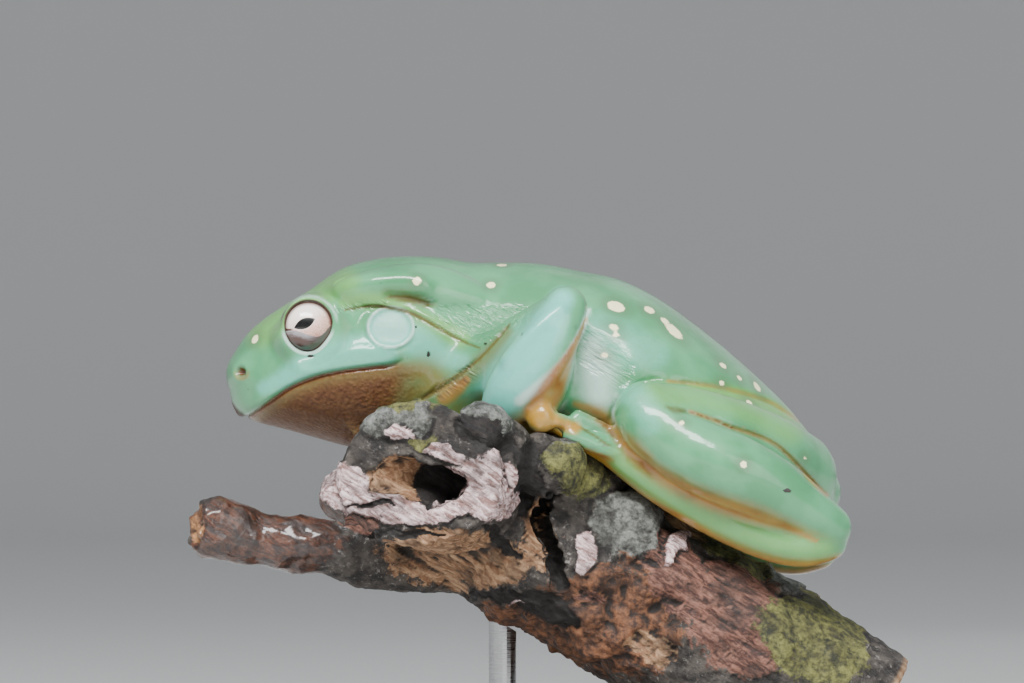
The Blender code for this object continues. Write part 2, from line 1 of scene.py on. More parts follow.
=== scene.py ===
"""Looks of the magnificent tree frog on its cut branch: skin, eyes, bark and display stand.

Lengths are in millimetres until a finished piece is written in metres. The frog looks along -X,
its left side is towards -Y, +Z is up, and the origin is the middle of the stand's underside.
"""

from __future__ import annotations

import logging
import math
from collections.abc import Callable, Iterable, Sequence
from dataclasses import dataclass, field
from enum import Enum

import bmesh
import bpy
import numpy as np
from mathutils import Matrix, Vector, noise
from mathutils.bvhtree import BVHTree

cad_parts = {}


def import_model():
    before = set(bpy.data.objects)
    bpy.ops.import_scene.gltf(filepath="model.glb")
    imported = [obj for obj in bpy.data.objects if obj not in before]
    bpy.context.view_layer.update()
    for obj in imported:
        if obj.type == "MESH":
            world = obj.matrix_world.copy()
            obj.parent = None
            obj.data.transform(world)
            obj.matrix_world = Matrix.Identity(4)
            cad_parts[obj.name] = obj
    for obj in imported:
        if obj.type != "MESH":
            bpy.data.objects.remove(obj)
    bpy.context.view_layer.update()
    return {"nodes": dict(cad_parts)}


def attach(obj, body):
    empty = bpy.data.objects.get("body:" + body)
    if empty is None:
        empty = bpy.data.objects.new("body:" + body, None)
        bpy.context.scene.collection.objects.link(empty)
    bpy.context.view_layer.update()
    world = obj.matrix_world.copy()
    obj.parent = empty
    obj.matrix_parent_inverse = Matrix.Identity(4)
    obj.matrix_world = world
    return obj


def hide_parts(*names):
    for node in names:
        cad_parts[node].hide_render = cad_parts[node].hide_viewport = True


MM = 0.001
LOG = logging.getLogger("tree_frog")
NOISE_SEED = 7
WELD = 0.0005  # points of a form that are nearer than this are merged
BRANCH_TILT = -32.0  # how the branch slopes in the photograph, in degrees

Row = tuple[float, ...]
Table = tuple[Row, ...]
Array = np.ndarray
BMesh = bmesh.types.BMesh
Piece = bpy.types.Object
Socket = bpy.types.NodeSocket


class Side(Enum):
    """The two sides of the frog, by the sign of Y."""

    LEFT = -1
    RIGHT = 1

    @property
    def word(self) -> str:
        """The side's name as the nodes spell it."""
        return self.name.lower()


class Mask(Enum):
    """What the skin's points carry for the finish, each a number from 0 to 1 but for the last two."""

    TURQUOISE = "turquoise"
    YELLOWISH = "yellowish"
    PALE = "pale"
    OLIVE = "olive"
    ORANGE = "orange"
    THROAT = "throat"
    LIP_LINE = "lip_line"
    TOE = "toe"
    NECK = "neck"
    EYE_RIM = "eye_rim"
    MATT = "matt"
    WET = "wet"
    SPOT = "spot"
    FLECK = "fleck"


@dataclass(frozen=True)
class PhotoFrame:
    """The photograph's frame of 1024 by 683 pixels, and the camera that sees it."""

    width: int = 1024
    height: int = 683
    step: float = 0.16
    distance: float = 1500.0
    middle_x: float = -12.48
    middle_z: float = 85.36
    sensor: float = 36.0
    nearest: float = 10.0

    def seen(self, points: Array) -> Array:
        """Projects points of the left side, or the right side mirrored, to the photograph.

        Args:
            points: Points in millimetres, one a row.

        Returns:
            Pixel coordinates, one pair a row.
        """
        near = self.distance / (self.distance - np.abs(points[:, 1])) / self.step
        across = self.width / 2 + (points[:, 0] - self.middle_x) * near
        down = self.height / 2 - (points[:, 2] - self.middle_z) * near
        return np.stack([across, down], axis=1)

    def place(self, pixel: Row, depth: float) -> Vector:
        """The point at a depth along Y that shows at a pixel.

        Args:
            pixel: Pixel coordinates.
            depth: The point's Y.

        Returns:
            The point in millimetres.
        """
        scale = self.step * (self.distance + depth) / self.distance
        x = self.middle_x + (pixel[0] - self.width / 2) * scale
        z = self.middle_z - (pixel[1] - self.height / 2) * scale
        return Vector((x, depth, z))

    def add_camera(self) -> None:
        """Adds the level camera, which looks along +Y, and makes it the scene's own."""
        lens = bpy.data.cameras.new("camera")
        lens.sensor_width = self.sensor
        lens.lens = self.sensor * self.distance / (self.width * self.step)
        lens.clip_start = self.nearest * MM
        camera = add_object("camera", lens)
        camera.location = Vector((self.middle_x, -self.distance, self.middle_z)) * MM
        camera.rotation_euler = (math.radians(90), 0, 0)
        bpy.context.scene.camera = camera


PHOTO = PhotoFrame()


@dataclass(frozen=True)
class Course:
    """A smooth course through rows of numbers, such as the stations along a leg."""

    rows: Table

    def at(self, share: float) -> list[float]:
        """The row at a share of the way from the first row to the last.

        Args:
            share: From 0 to 1.

        Returns:
            The numbers there, on a smooth curve through the rows.
        """
        last = len(self.rows) - 1
        at = min(max(share, 0.0), 1.0) * last
        i = min(int(at), last - 1)
        f = at - i
        picked = (self.rows[min(max(i + k, 0), last)] for k in (-1, 0, 1, 2))
        made = []
        for a, b, c, d in zip(*picked):
            bend = 2 * a - 5 * b + 4 * c - d
            twist = 3 * (b - c) + d - a
            made.append(0.5 * (2 * b + (c - a) * f + bend * f**2 + twist * f**3))
        return made

    def sampled(self, count: int) -> Array:
        """As many rows as asked for, at even shares of the way."""
        return np.array([self.at(k / (count - 1)) for k in range(count)])

    def on_side(self, side: Side, drop: float = 0.0) -> Course:
        """The course, given for the left side, moved to a side, its last row lowered by drop."""
        last = len(self.rows) - 1
        fall = [drop * k / last if side is Side.RIGHT else 0.0 for k in range(last + 1)]
        moved = [
            (row[0], -side.value * row[1], row[2] - by, *row[3:])
            for row, by in zip(self.rows, fall)
        ]
        return Course(tuple(moved))


def add_object(name: str, data: bpy.types.ID) -> Piece:
    """Adds an object with its mesh, light or camera to the scene."""
    made = bpy.data.objects.new(name, data)
    bpy.context.scene.collection.objects.link(made)
    return made


def signed_root(value: float, power: float) -> float:
    """The sine or cosine of a section whose roundness is power, where 2 is an ellipse."""
    return math.copysign(abs(value) ** (2.0 / power), value)


def side_point(point: Sequence[float], side: Side) -> Vector:
    """A point or direction given for the left side, moved to a side."""
    return Vector((point[0], -side.value * point[1], point[2]))


def ramp(value: Array, low: float, high: float) -> Array:
    """Rises smoothly from 0 at low to 1 at high, or falls where low is the larger."""
    share = np.clip((value - low) / (high - low), 0.0, 1.0)
    return share * share * (3 - 2 * share)


def lengths(vectors: Array) -> Array:
    """The length of each row."""
    return np.linalg.norm(vectors, axis=1)


def hump(value: Array, width: float) -> Array:
    """A smooth hump, 1 where the value is 0 and about a third where it is as large as the width."""
    return np.exp(-((value / width) ** 2))


def noise_at(kind: Callable[..., float], places: Iterable[Vector], *settings: float) -> Array:
    """One kind of noise at many places, with the settings that its function takes after a place."""
    return np.array([kind(place, *settings) for place in places])


def skin_rings(bm: BMesh, rings: Sequence[Sequence[Vector]]) -> None:
    """Adds one closed form through rings of points, pinched shut at both ends.

    Args:
        bm: The bmesh that the form is added to.
        rings: Rings of equally many points.
    """
    columns = len(rings[0])
    first = sum(rings[0], Vector()) / columns
    last = sum(rings[-1], Vector()) / columns
    rows = [[first] * columns, *rings, [last] * columns]
    grid = bmesh.ops.create_grid(bm, x_segments=columns, y_segments=len(rows) - 1, size=1.0)
    for index, vert in enumerate(grid["verts"]):
        row, column = divmod(index, columns + 1)
        vert.co = rows[row][column % columns]
    bmesh.ops.remove_doubles(bm, verts=grid["verts"], dist=WELD)


def ring_about(
    middle: Vector,
    across: Vector,
    above: Vector,
    wide: float,
    high: float,
    sides: int,
    power: float = 2.0,
) -> list[Vector]:
    """One ring of points about a middle.

    Args:
        middle: The ring's middle.
        across: The direction of its width.
        above: The direction of its height.
        wide: Half its width.
        high: Half its height.
        sides: How many points.
        power: Its roundness, where 2 is an ellipse.

    Returns:
        The points.
    """
    ring = []
    for n in range(sides):
        turn = 2 * math.pi * n / sides
        side = wide * signed_root(math.cos(turn), power)
        height = high * signed_root(math.sin(turn), power)
        ring.append(middle + across * side + above * height)
    return ring


CAP_TURNS = (21.0, 42.0, 62.0, 80.0)  # where a round end has its rings, in degrees


def add_tube(
    bm: BMesh,
    course: Course,
    steps: int = 40,
    sides: int = 32,
    power: float = 2.0,
    side_axis: Row = (0.0, 1.0, 0.0),
    blunt_end: bool = False,
) -> None:
    """Adds a bent form with round ends along a course.

    Args:
        bm: The bmesh that the form is added to.
        course: Rows of x, y, z, half width and half height.
        steps: How many rings.
        sides: How many points a ring.
        power: The section's roundness.
        side_axis: The direction that the width is measured along.
        blunt_end: Leaves the last end flat.
    """
    rows = course.sampled(steps)
    middles = [Vector(row[:3]) for row in rows]
    rings = []
    for k, row in enumerate(rows):
        ahead = (middles[min(k + 1, steps - 1)] - middles[max(k - 1, 0)]).normalized()
        axis = Vector(side_axis)
        across = (axis - ahead * ahead.dot(axis)).normalized()
        above = ahead.cross(across)
        turns = [0.0]
        if k == 0:
            turns = [*(-turn for turn in reversed(CAP_TURNS)), 0.0]
        if k == steps - 1 and not blunt_end:
            turns = [0.0, *CAP_TURNS]
        for degrees in turns:
            turn = math.radians(degrees)
            middle = middles[k] + ahead * math.sin(turn) * min(row[3], row[4])
            wide, high = (radius * math.cos(turn) for radius in row[3:5])
            rings.append(ring_about(middle, across, above, wide, high, sides, power))
    skin_rings(bm, rings)


def add_ball(bm: BMesh, middle: Sequence[float], radii: Sequence[float]) -> None:
    """Adds an ellipsoid about a middle.

    Args:
        bm: The bmesh that the ball is added to.
        middle: Its middle.
        radii: Its three radii.
    """
    made = bmesh.ops.create_icosphere(bm, subdivisions=4, radius=1.0)["verts"]
    bmesh.ops.scale(bm, vec=Vector(radii), verts=made)
    bmesh.ops.translate(bm, vec=Vector(middle), verts=made)


def smooth_line(pixels: Table, count: int = 40) -> Array:
    """A smooth line through pixels of the photograph."""
    return Course(pixels).sampled(count)


def line_field(points: Array, pixels: Table) -> tuple[Array, Array]:
    """Measures points of the photograph against the smooth line through some pixels.

    Args:
        points: Pixel coordinates, one pair a row.
        pixels: What the line runs through.

    Returns:
        Each point's distance from the line, above it positive and below it negative, and how far
        along the line it is, from 0 to 1.
    """
    line = smooth_line(pixels)[:, :2]
    best = np.full(len(points), np.inf)
    signed = np.zeros(len(points))
    along = np.zeros(len(points))
    runs = lengths(np.diff(line, axis=0))
    starts = np.concatenate([[0.0], np.cumsum(runs)])
    for k, (start, end) in enumerate(zip(line[:-1], line[1:])):
        way = end - start
        rest = points - start
        share = np.clip(rest @ way / (way @ way), 0.0, 1.0)
        gap = rest - share[:, None] * way
        distance = lengths(gap)
        nearer = distance < best
        cross = way[0] * rest[:, 1] - way[1] * rest[:, 0]
        best = np.where(nearer, distance, best)
        signed = np.where(nearer, np.where(cross > 0, -distance, distance), signed)
        along = np.where(nearer, (starts[k] + share * runs[k]) / starts[-1], along)
    return signed, along


def line_gap(points: Array, pixels: Table) -> Array:
    """How far points of the photograph lie from the smooth line through some pixels."""
    return np.abs(line_field(points, pixels)[0])


def blob_field(points: Array, blob: Row) -> Array:
    """How deep points lie in an oval of the photograph: 1 at its middle, 0 on its rim.

    Args:
        points: Pixel coordinates, one pair a row.
        blob: The oval's middle across and down, its two radii, and its tilt in degrees.

    Returns:
        One number a point, negative outside.
    """
    across, down, wide, high, tilt = blob
    turn = math.radians(tilt)
    shift = points - np.array([across, down])
    u = shift[:, 0] * math.cos(turn) + shift[:, 1] * math.sin(turn)
    v = shift[:, 1] * math.cos(turn) - shift[:, 0] * math.sin(turn)
    return 1.0 - np.hypot(u / wide, v / high)


class Clay:
    """A form made one skin by remeshing, whose points are then moved as a sculptor moves clay."""

    def __init__(self, bm: BMesh, voxel: float) -> None:
        """Remeshes closed forms into one skin.

        Args:
            bm: The forms, in millimetres, which is used up.
            voxel: The size of the new faces.
        """
        bmesh.ops.recalc_face_normals(bm, faces=bm.faces)
        raw = bpy.data.meshes.new("raw")
        bm.to_mesh(raw)
        bm.free()
        holder = add_object("raw", raw)
        remesh = holder.modifiers.new("remesh", "REMESH")
        remesh.mode = "VOXEL"
        remesh.voxel_size = voxel
        graph = bpy.context.evaluated_depsgraph_get()
        self.mesh = bpy.data.meshes.new_from_object(holder.evaluated_get(graph), depsgraph=graph)
        bpy.data.objects.remove(holder)
        bpy.data.meshes.remove(raw)
        self._read()

    def _read(self) -> None:
        """Takes the points and edges out of the mesh."""
        self.points = np.empty(len(self.mesh.vertices) * 3)
        self.mesh.vertices.foreach_get("co", self.points)
        self.points = self.points.reshape(-1, 3)
        edges = np.empty(len(self.mesh.edges) * 2, dtype=np.int32)
        self.mesh.edges.foreach_get("vertices", edges)
        self.edges = edges.reshape(-1, 2)

    def _write(self) -> None:
        """Puts the moved points back into the mesh."""
        self.mesh.vertices.foreach_set("co", self.points.ravel())
        self.mesh.update()

    def _opened(self) -> BMesh:
        """The mesh as a bmesh, with its points where they are now."""
        self._write()
        bm = bmesh.new()
        bm.from_mesh(self.mesh)
        return bm

    def _close(self, bm: BMesh) -> None:
        """Takes a changed bmesh back as the mesh."""
        bm.to_mesh(self.mesh)
        bm.free()
        self._read()

    @property
    def normals(self) -> Array:
        """The direction outward at each point."""
        self._write()
        found = np.empty(len(self.mesh.vertices) * 3)
        self.mesh.vertex_normals.foreach_get("vector", found)
        return found.reshape(-1, 3)

    def relax(self, rounds: int, weight: Array | float = 1.0, keep_size: bool = True) -> None:
        """Smooths the skin.

        Args:
            rounds: How many times.
            weight: How much each point takes part, from 0 to 1.
            keep_size: Pushes back after each round, so that thin forms stay as thick.
        """
        total = len(self.points)
        first, second = self.edges[:, 0], self.edges[:, 1]
        count = np.bincount(self.edges.ravel(), minlength=total)[:, None]
        share = np.broadcast_to(np.asarray(weight, float), (total,))[:, None]
        for turn in range(rounds * (2 if keep_size else 1)):
            step = -0.53 if keep_size and turn % 2 else 0.5
            mean = np.empty_like(self.points)
            for axis in range(3):
                values = self.points[:, axis]
                mean[:, axis] = np.bincount(first, values[second], total)
                mean[:, axis] += np.bincount(second, values[first], total)
            self.points = self.points + (mean / count - self.points) * step * share

    def push(self, amount: Array) -> None:
        """Moves each point outward by an amount, or inward where it is negative."""
        self.points = self.points + self.normals * amount[:, None]

    def hollowness(self, rounds: int = 6) -> Array:
        """How deep each point lies among its neighbours, in millimetres, negative on a ridge."""
        kept, normals = self.points, self.normals
        self.relax(rounds, keep_size=False)
        found = np.sum((self.points - kept) * normals, axis=1)
        self.points = kept
        return found

    def refine(self, where: Array) -> None:
        """Splits the faces all of whose points are marked.

        Args:
            where: True at each point that is marked.
        """
        bm = self._opened()
        marked = [edge for edge in bm.edges if all(where[vert.index] for vert in edge.verts)]
        bmesh.ops.subdivide_edges(bm, edges=marked, cuts=1, use_grid_fill=True)
        self._close(bm)

    def tree(self) -> BVHTree:
        """The skin as a search tree, in millimetres."""
        bm = self._opened()
        found = BVHTree.FromBMesh(bm)
        bm.free()
        return found

    def largest_only(self) -> None:
        """Drops every closed surface but the largest."""
        bm = self._opened()
        left = set(bm.verts)
        groups = []
        while left:
            group = [left.pop()]
            for vert in group:
                for edge in vert.link_edges:
                    other = edge.other_vert(vert)
                    if other in left:
                        left.remove(other)
                        group.append(other)
            groups.append(group)
        groups.sort(key=len)
        spare = [vert for group in groups[:-1] for vert in group]
        if spare:
            bmesh.ops.delete(bm, geom=spare, context="VERTS")
        self._close(bm)

    def finished(self, name: str, finish: Finish, masks: dict[str, Array]) -> Piece:
        """Writes the skin as a finished piece in metres.

        Args:
            name: The piece's name.
            finish: What it is finished in.
            masks: Numbers that the finish reads, one a point.

        Returns:
            The piece.
        """
        self._write()
        mesh = self.mesh.copy()
        mesh.name = name
        for word, values in masks.items():
            layer = mesh.attributes.new(word, "FLOAT", "POINT")
            layer.data.foreach_set("value", values.astype(np.float32))
        mesh.transform(Matrix.Scale(MM, 4))
        mesh.materials.clear()
        return add_piece(name, mesh, finish)


def add_piece(name: str, mesh: bpy.types.Mesh, finish: Finish) -> Piece:
    """Adds a mesh in metres to the scene as a piece that rides on the root body.

    Args:
        name: The piece's name.
        mesh: Its mesh.
        finish: What it is finished in.

    Returns:
        The piece.
    """
    mesh.materials.append(finish.material())
    mesh.shade_smooth()
    piece = add_object(name, mesh)
    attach(piece, "root")
    LOG.info("%s: %d faces", name, len(mesh.polygons))
    return piece


def add_shape(name: str, bm: BMesh, finish: Finish) -> Piece:
    """Adds a bmesh in millimetres as a piece.

    Args:
        name: The piece's name.
        bm: Its shape, which is used up.
        finish: What it is finished in.

    Returns:
        The piece.
    """
    bmesh.ops.remove_doubles(bm, verts=bm.verts, dist=WELD)
    bmesh.ops.recalc_face_normals(bm, faces=bm.faces)
    bmesh.ops.transform(bm, matrix=Matrix.Scale(MM, 4), verts=bm.verts)
    mesh = bpy.data.meshes.new(name)
    bm.to_mesh(mesh)
    bm.free()
    return add_piece(name, mesh, finish)


class Graph:
    """A material's nodes, made and wired in few words."""

    def __init__(self, name: str) -> None:
        """Starts a material with one Principled shader.

        Args:
            name: The material's name.
        """
        self.made = bpy.data.materials.new(name)
        self.made.use_nodes = True
        self.nodes = self.made.node_tree.nodes
        self.links = self.made.node_tree.links
        self.shader = self.nodes["Principled BSDF"]
        self.place = self.add("TexCoord").outputs["Object"]

    def add(self, kind: str, **settings: object) -> bpy.types.Node:
        """Adds a node and sets its properties.

        Args:
            kind: The node's type, without the words in front.
            **settings: Its properties.

        Returns:
            The node.
        """
        made = self.nodes.new("ShaderNode" + kind)
        for word, value in settings.items():
            setattr(made, word, value)
        return made

    def feed(self, socket: Socket, value: object) -> None:
        """Links a socket to another, or sets it to a number or a colour.

        Args:
            socket: The socket that is fed.
            value: A socket, a number, a colour of three numbers or a vector.
        """
        if isinstance(value, Socket):
            self.links.new(value, socket)
        elif socket.type == "RGBA":
            socket.default_value = (*value[:3], 1.0)
        else:
            socket.default_value = value

    def set(self, **values: object) -> None:
        """Feeds the shader's sockets, whose names are written with _ for a space."""
        for word, value in values.items():
            self.feed(self.shader.inputs[word.replace("_", " ")], value)

    def plus(self, first: object, second: object) -> Socket:
        """Two values added."""
        return self.math_node("ADD", first, second)

    def minus(self, first: object, second: object) -> Socket:
        """One value less another."""
        return self.math_node("SUBTRACT", first, second)

    def times(self, first: object, second: object) -> Socket:
        """Two values multiplied."""
        return self.math_node("MULTIPLY", first, second)

    def math_node(self, operation: str, first: object, second: object = 0.0) -> Socket:
        """A Math node of two values."""
        made = self.add("Math", operation=operation)
        self.feed(made.inputs[0], first)
        self.feed(made.inputs[1], second)
        return made.outputs[0]

    def span(self, value: object, low: float, high: float, start: float = 0.0, end: float = 1.0) -> Socket:
        """A value carried smoothly from one span of numbers to another."""
        made = self.add("MapRange", interpolation_type="SMOOTHSTEP")
        for index, given in enumerate((value, low, high, start, end)):
            self.feed(made.inputs[index], given)
        return made.outputs[0]

    def blend(self, share: object, first: object, second: object) -> Socket:
        """Two colours mixed.

        Args:
            share: How much of the second there is.
            first: The first colour or socket.
            second: The second colour or socket.

        Returns:
            The mixed colour's socket.
        """
        made = self.add("Mix", data_type="RGBA")
        for index, given in ((0, share), (6, first), (7, second)):
            self.feed(made.inputs[index], given)
        return made.outputs[2]

    def parts(self, place: Socket) -> list[Socket]:
        """The x, y and z of a place."""
        made = self.add("SeparateXYZ")
        self.feed(made.inputs[0], place)
        return list(made.outputs)

    def mask(self, name: str) -> Socket:
        """The number that the piece's points carry under a name."""
        return self.add("Attribute", attribute_name=name).outputs["Fac"]

    def stretched(self, stretch: Row, turn: Row = (0.0, 0.0, 0.0)) -> Socket:
        """Object coordinates turned by degrees and then stretched."""
        made = self.add("Mapping", vector_type="TEXTURE")
        self.feed(made.inputs["Vector"], self.place)
        made.inputs["Rotation"].default_value = [math.radians(-angle) for angle in turn]
        made.inputs["Scale"].default_value = [1 / share for share in stretch]
        return made.outputs[0]

    def grain(
        self, size: float, detail: float = 2.0, rough: float = 0.5, place: object = None, bend: float = 0.0
    ) -> Socket:
        """Noise whose features have a size in millimetres.

        Args:
            size: The size of a feature.
            detail: How many finer layers there are.
            rough: How strong these are.
            place: The coordinates it reads, or the object's own.
            bend: How far the noise bends itself.

        Returns:
            The noise's socket.
        """
        made = self.add("TexNoise")
        self.feed(made.inputs["Vector"], place or self.place)
        for word, value in (("Scale", 1 / (size * MM)), ("Detail", detail), ("Roughness", rough)):
            made.inputs[word].default_value = value
        made.inputs["Distortion"].default_value = bend
        return made.outputs["Fac"]

    def cells(self, size: float, feature: str = "F1", place: object = None) -> Socket:
        """Distance in a pattern of cells whose size is in millimetres."""
        made = self.add("TexVoronoi", feature=feature)
        self.feed(made.inputs["Vector"], place or self.place)
        made.inputs["Scale"].default_value = 1 / (size * MM)
        return made.outputs["Distance"]

    def bump(self, height: object, depth: float, strength: object = 1.0, below: object = None) -> Socket:
        """A bump of a depth in millimetres.

        Args:
            height: The socket that gives the height, from 0 to 1.
            depth: How far a height of 1 stands out.
            strength: How much of it shows.
            below: The socket of a bump that this one lies on.

        Returns:
            The bump's socket.
        """
        made = self.add("Bump")
        made.inputs["Distance"].default_value = depth * MM
        self.feed(made.inputs["Strength"], strength)
        self.feed(made.inputs["Height"], height)
        if below is not None:
            self.feed(made.inputs["Normal"], below)
        return made.outputs[0]


@dataclass(frozen=True)
class Finish:
    """A finish of one kind of surface, kept once as a material."""

    name: str
    slot: str

    def material(self) -> bpy.types.Material:
        """The finish's material, made when it is first asked for."""
        found = bpy.data.materials.get(self.name)
        if found is None:
            graph = Graph(self.name)
            self.dress(graph)
            found = graph.made
        return found

    def dress(self, graph: Graph) -> None:
        """Wires the finish's nodes."""
        raise NotImplementedError


@dataclass(frozen=True)
class SkinFinish(Finish):
    """Moist, smooth frog skin, green above, tan under the legs and brown on the throat."""

    name: str = "frog_skin"
    slot: str = "skin"
    green: Row = (0.095, 0.345, 0.165)
    deep_green: Row = (0.06, 0.26, 0.11)
    turquoise: Row = (0.15, 0.56, 0.47)
    yellowish: Row = (0.17, 0.40, 0.075)
    # pale is the belly's, lower lid's and ear ring's colour; it also lays a painted highlight on the upper
    # lid and on part of the flank's pale patch.
    pale: Row = (0.46, 0.66, 0.58)
    # olive is the creases' colour, and also painted shade in the gland's groove, where neck lays it too.
    olive: Row = (0.095, 0.070, 0.010)
    neck: Row = (0.165, 0.125, 0.026)
    orange: Row = (0.30, 0.085, 0.010)
    tan: Row = (0.47, 0.25, 0.05)
    throat: Row = (0.070, 0.022, 0.006)
    throat_light: Row = (0.115, 0.050, 0.014)
    # lip_line is the mouth's orange-brown line, and also darkens the nostril's hole, partly as painted
    # shade.
    lip_line: Row = (0.15, 0.040, 0.008)
    # eye_rim is the lids' dark edge, and also painted shade at the lip's lower tip.
    eye_rim: Row = (0.045, 0.018, 0.010)
    toe: Row = (0.36, 0.20, 0.025)
    cream: Row = (1.0, 0.93, 0.56)
    halo: Row = (0.085, 0.17, 0.08)
    fleck: Row = (0.015, 0.010, 0.008)
    blotch_size: float = 9.0
    freckle_size: float = 1.1
    grain_size: float = 0.7
    granule_size: float = 0.55
    wrinkle_size: float = 0.50

    def dress(self, graph: Graph) -> None:
        """Wires the skin's nodes."""
        colour = self._markings(graph)
        wet = graph.mask(Mask.WET.value)
        throat = graph.mask(Mask.THROAT.value)
        matt = graph.mask(Mask.MATT.value)
        fine = graph.bump(graph.grain(self.grain_size, 3.0, 0.55), 0.06, 0.45)
        slanted = graph.stretched((0.15, 1.0, 1.0), (0.0, BRANCH_TILT, 0.0))
        creased = graph.grain(self.wrinkle_size, 2.0, 0.6, slanted)
        wrinkles = graph.bump(creased, 0.55, wet, fine)
        granules = graph.bump(graph.cells(self.granule_size, "SMOOTH_F1"), -0.22, throat, wrinkles)
        satin = graph.span(graph.grain(1.8, 3.0), 0.3, 0.7, 0.30, 0.40)
        graph.set(
            Base_Color=colour,
            Roughness=graph.plus(satin, graph.times(matt, 0.28)),
            Normal=granules,
            Coat_Normal=wrinkles,
            Subsurface_Weight=0.12,
            Subsurface_Scale=0.0010,
            Coat_Weight=graph.span(matt, 0.1, 0.9, 0.75, 0.10),
            Coat_Roughness=0.055,
            IOR=1.38,
        )
        graph.shader.inputs["Subsurface Radius"].default_value = (1.0, 0.7, 0.4)

    def _markings(self, graph: Graph) -> Socket:
        """Lays the skin's colours over one another."""
        broad = graph.span(graph.grain(self.blotch_size, 3.0), 0.38, 0.66)
        colour = graph.blend(broad, self.green, self.deep_green)
        freckle = graph.span(graph.cells(self.freckle_size), 0.10, 0.22, 0.16, 0.0)
        colour = graph.blend(freckle, colour, self.deep_green)
        mottle = graph.span(graph.grain(1.2, 4.0, 0.6), 0.2, 0.8)
        throat = graph.blend(mottle, self.throat, self.throat_light)
        under = graph.blend(graph.span(graph.grain(4.0, 2.0), 0.15, 0.85), self.orange, self.tan)
        toe = graph.blend(graph.span(graph.grain(1.6, 2.0), 0.4, 0.7), self.toe, self.tan)
        layers = (
            (Mask.YELLOWISH, self.yellowish),
            (Mask.TURQUOISE, self.turquoise),
            (Mask.PALE, self.pale),
            (Mask.NECK, self.neck),
            (Mask.OLIVE, self.olive),
            (Mask.THROAT, throat),
            (Mask.ORANGE, under),
            (Mask.TOE, toe),
            (Mask.LIP_LINE, self.lip_line),
            (Mask.EYE_RIM, self.eye_rim),
        )
        ragged = graph.minus(graph.grain(0.8, 3.0, 0.6), 0.5)
        for word, layer in layers:
            share = graph.mask(word.value)
            edge = graph.times(graph.times(ragged, 0.3), graph.span(share, 0.0, 0.25))
            worn = graph.plus(share, edge)
            worn.node.use_clamp = True
            colour = graph.blend(worn, colour, layer)
        inside = graph.plus(graph.mask(Mask.SPOT.value), graph.times(ragged, 0.35))
        colour = graph.blend(graph.span(inside, -1.6, 0.0, 0.0, 0.55), colour, self.halo)
        colour = graph.blend(graph.span(inside, -0.10, 0.10), colour, self.cream)
        dirt = graph.plus(graph.mask(Mask.FLECK.value), graph.times(ragged, 0.4))
        return graph.blend(graph.span(dirt, -0.05, 0.12), colour, self.fleck)


@dataclass(frozen=True)
class EyeFinish(Finish):
    """A glossy eye, whose UV map gives the place on the iris in millimetres."""

    name: str = "frog_eye"
    slot: str = "eye"
    iris: Row = (0.86, 0.52, 0.44)
    iris_light: Row = (1.0, 0.90, 0.82)
    vein: Row = (0.36, 0.11, 0.06)
    rim: Row = (0.07, 0.025, 0.015)
    pupil: Row = (0.003, 0.003, 0.003)
    iris_radius: float = 3.80
    pupil_length: float = 2.02
    pupil_height: float = 0.98
    pupil_place: Row = (-0.63, 0.41)
    pupil_tilt: float = 23.8
    vein_size: float = 0.34
    speckle_size: float = 0.5
    rim_width: float = 0.75
    slit_level: float = 0.62

    def dress(self, graph: Graph) -> None:
        """Wires the eye's nodes."""
        place = graph.add("UVMap", uv_map="iris").outputs[0]
        x, y, _ = graph.parts(place)
        away = graph.add("VectorMath", operation="LENGTH")
        graph.feed(away.inputs[0], place)
        radius = away.outputs["Value"]
        veins = graph.cells(self.vein_size / MM, "DISTANCE_TO_EDGE", place)
        speckle = graph.minus(graph.grain(self.speckle_size / MM, 4.0, 0.7, place), 0.5)
        slope = graph.minus(graph.times(x, 0.5), y)
        depth = graph.plus(slope, graph.times(speckle, 3.0))
        colour = graph.blend(graph.span(depth, -2.4, 0.6), self.iris_light, self.iris)
        net = graph.times(graph.span(veins, 0.12, 0.0, 0.0, 0.55), graph.span(slope, -1.2, 1.4, 0.1, 1.0))
        colour = graph.blend(net, colour, self.vein)
        colour = graph.blend(graph.span(depth, 0.4, 3.4, 0.0, 0.40), colour, self.vein)
        edge = graph.span(radius, self.iris_radius - self.rim_width, self.iris_radius)
        colour = graph.blend(edge, colour, self.rim)
        slit = self._slit(graph, place)
        colour = graph.blend(graph.span(slit, -0.10, 0.16, 0.0, 0.8), colour, self.iris_light)
        colour = graph.blend(graph.span(slit, 0.10, 0.20), colour, self.pupil)
        level = graph.math_node("ABSOLUTE", graph.plus(y, self.slit_level))
        streak = graph.times(graph.span(level, 0.34, 0.12), graph.span(x, -2.2, -2.9))
        colour = graph.blend(streak, colour, self.rim)
        graph.set(
            Base_Color=colour,
            Roughness=0.25,
            Coat_Weight=1.0,
            Coat_Roughness=0.02,
            Coat_IOR=1.45,
        )

    def _slit(self, graph: Graph, place: Socket) -> Socket:
        """How far inside the pupil's leaf shape a place is, in millimetres."""
        turned = graph.add("Mapping", vector_type="TEXTURE")
        graph.feed(turned.inputs["Vector"], place)
        turned.inputs["Location"].default_value = (*self.pupil_place, 0.0)
        turned.inputs["Rotation"].default_value = (0.0, 0.0, math.radians(self.pupil_tilt))
        x, y, _ = graph.parts(turned.outputs[0])
        along = graph.math_node("DIVIDE", x, self.pupil_length)
        leaf = graph.minus(1.0, graph.math_node("POWER", graph.math_node("ABSOLUTE", along), 2.0))
        open_height = graph.times(leaf, self.pupil_height)
        return graph.minus(open_height, graph.math_node("ABSOLUTE", y))


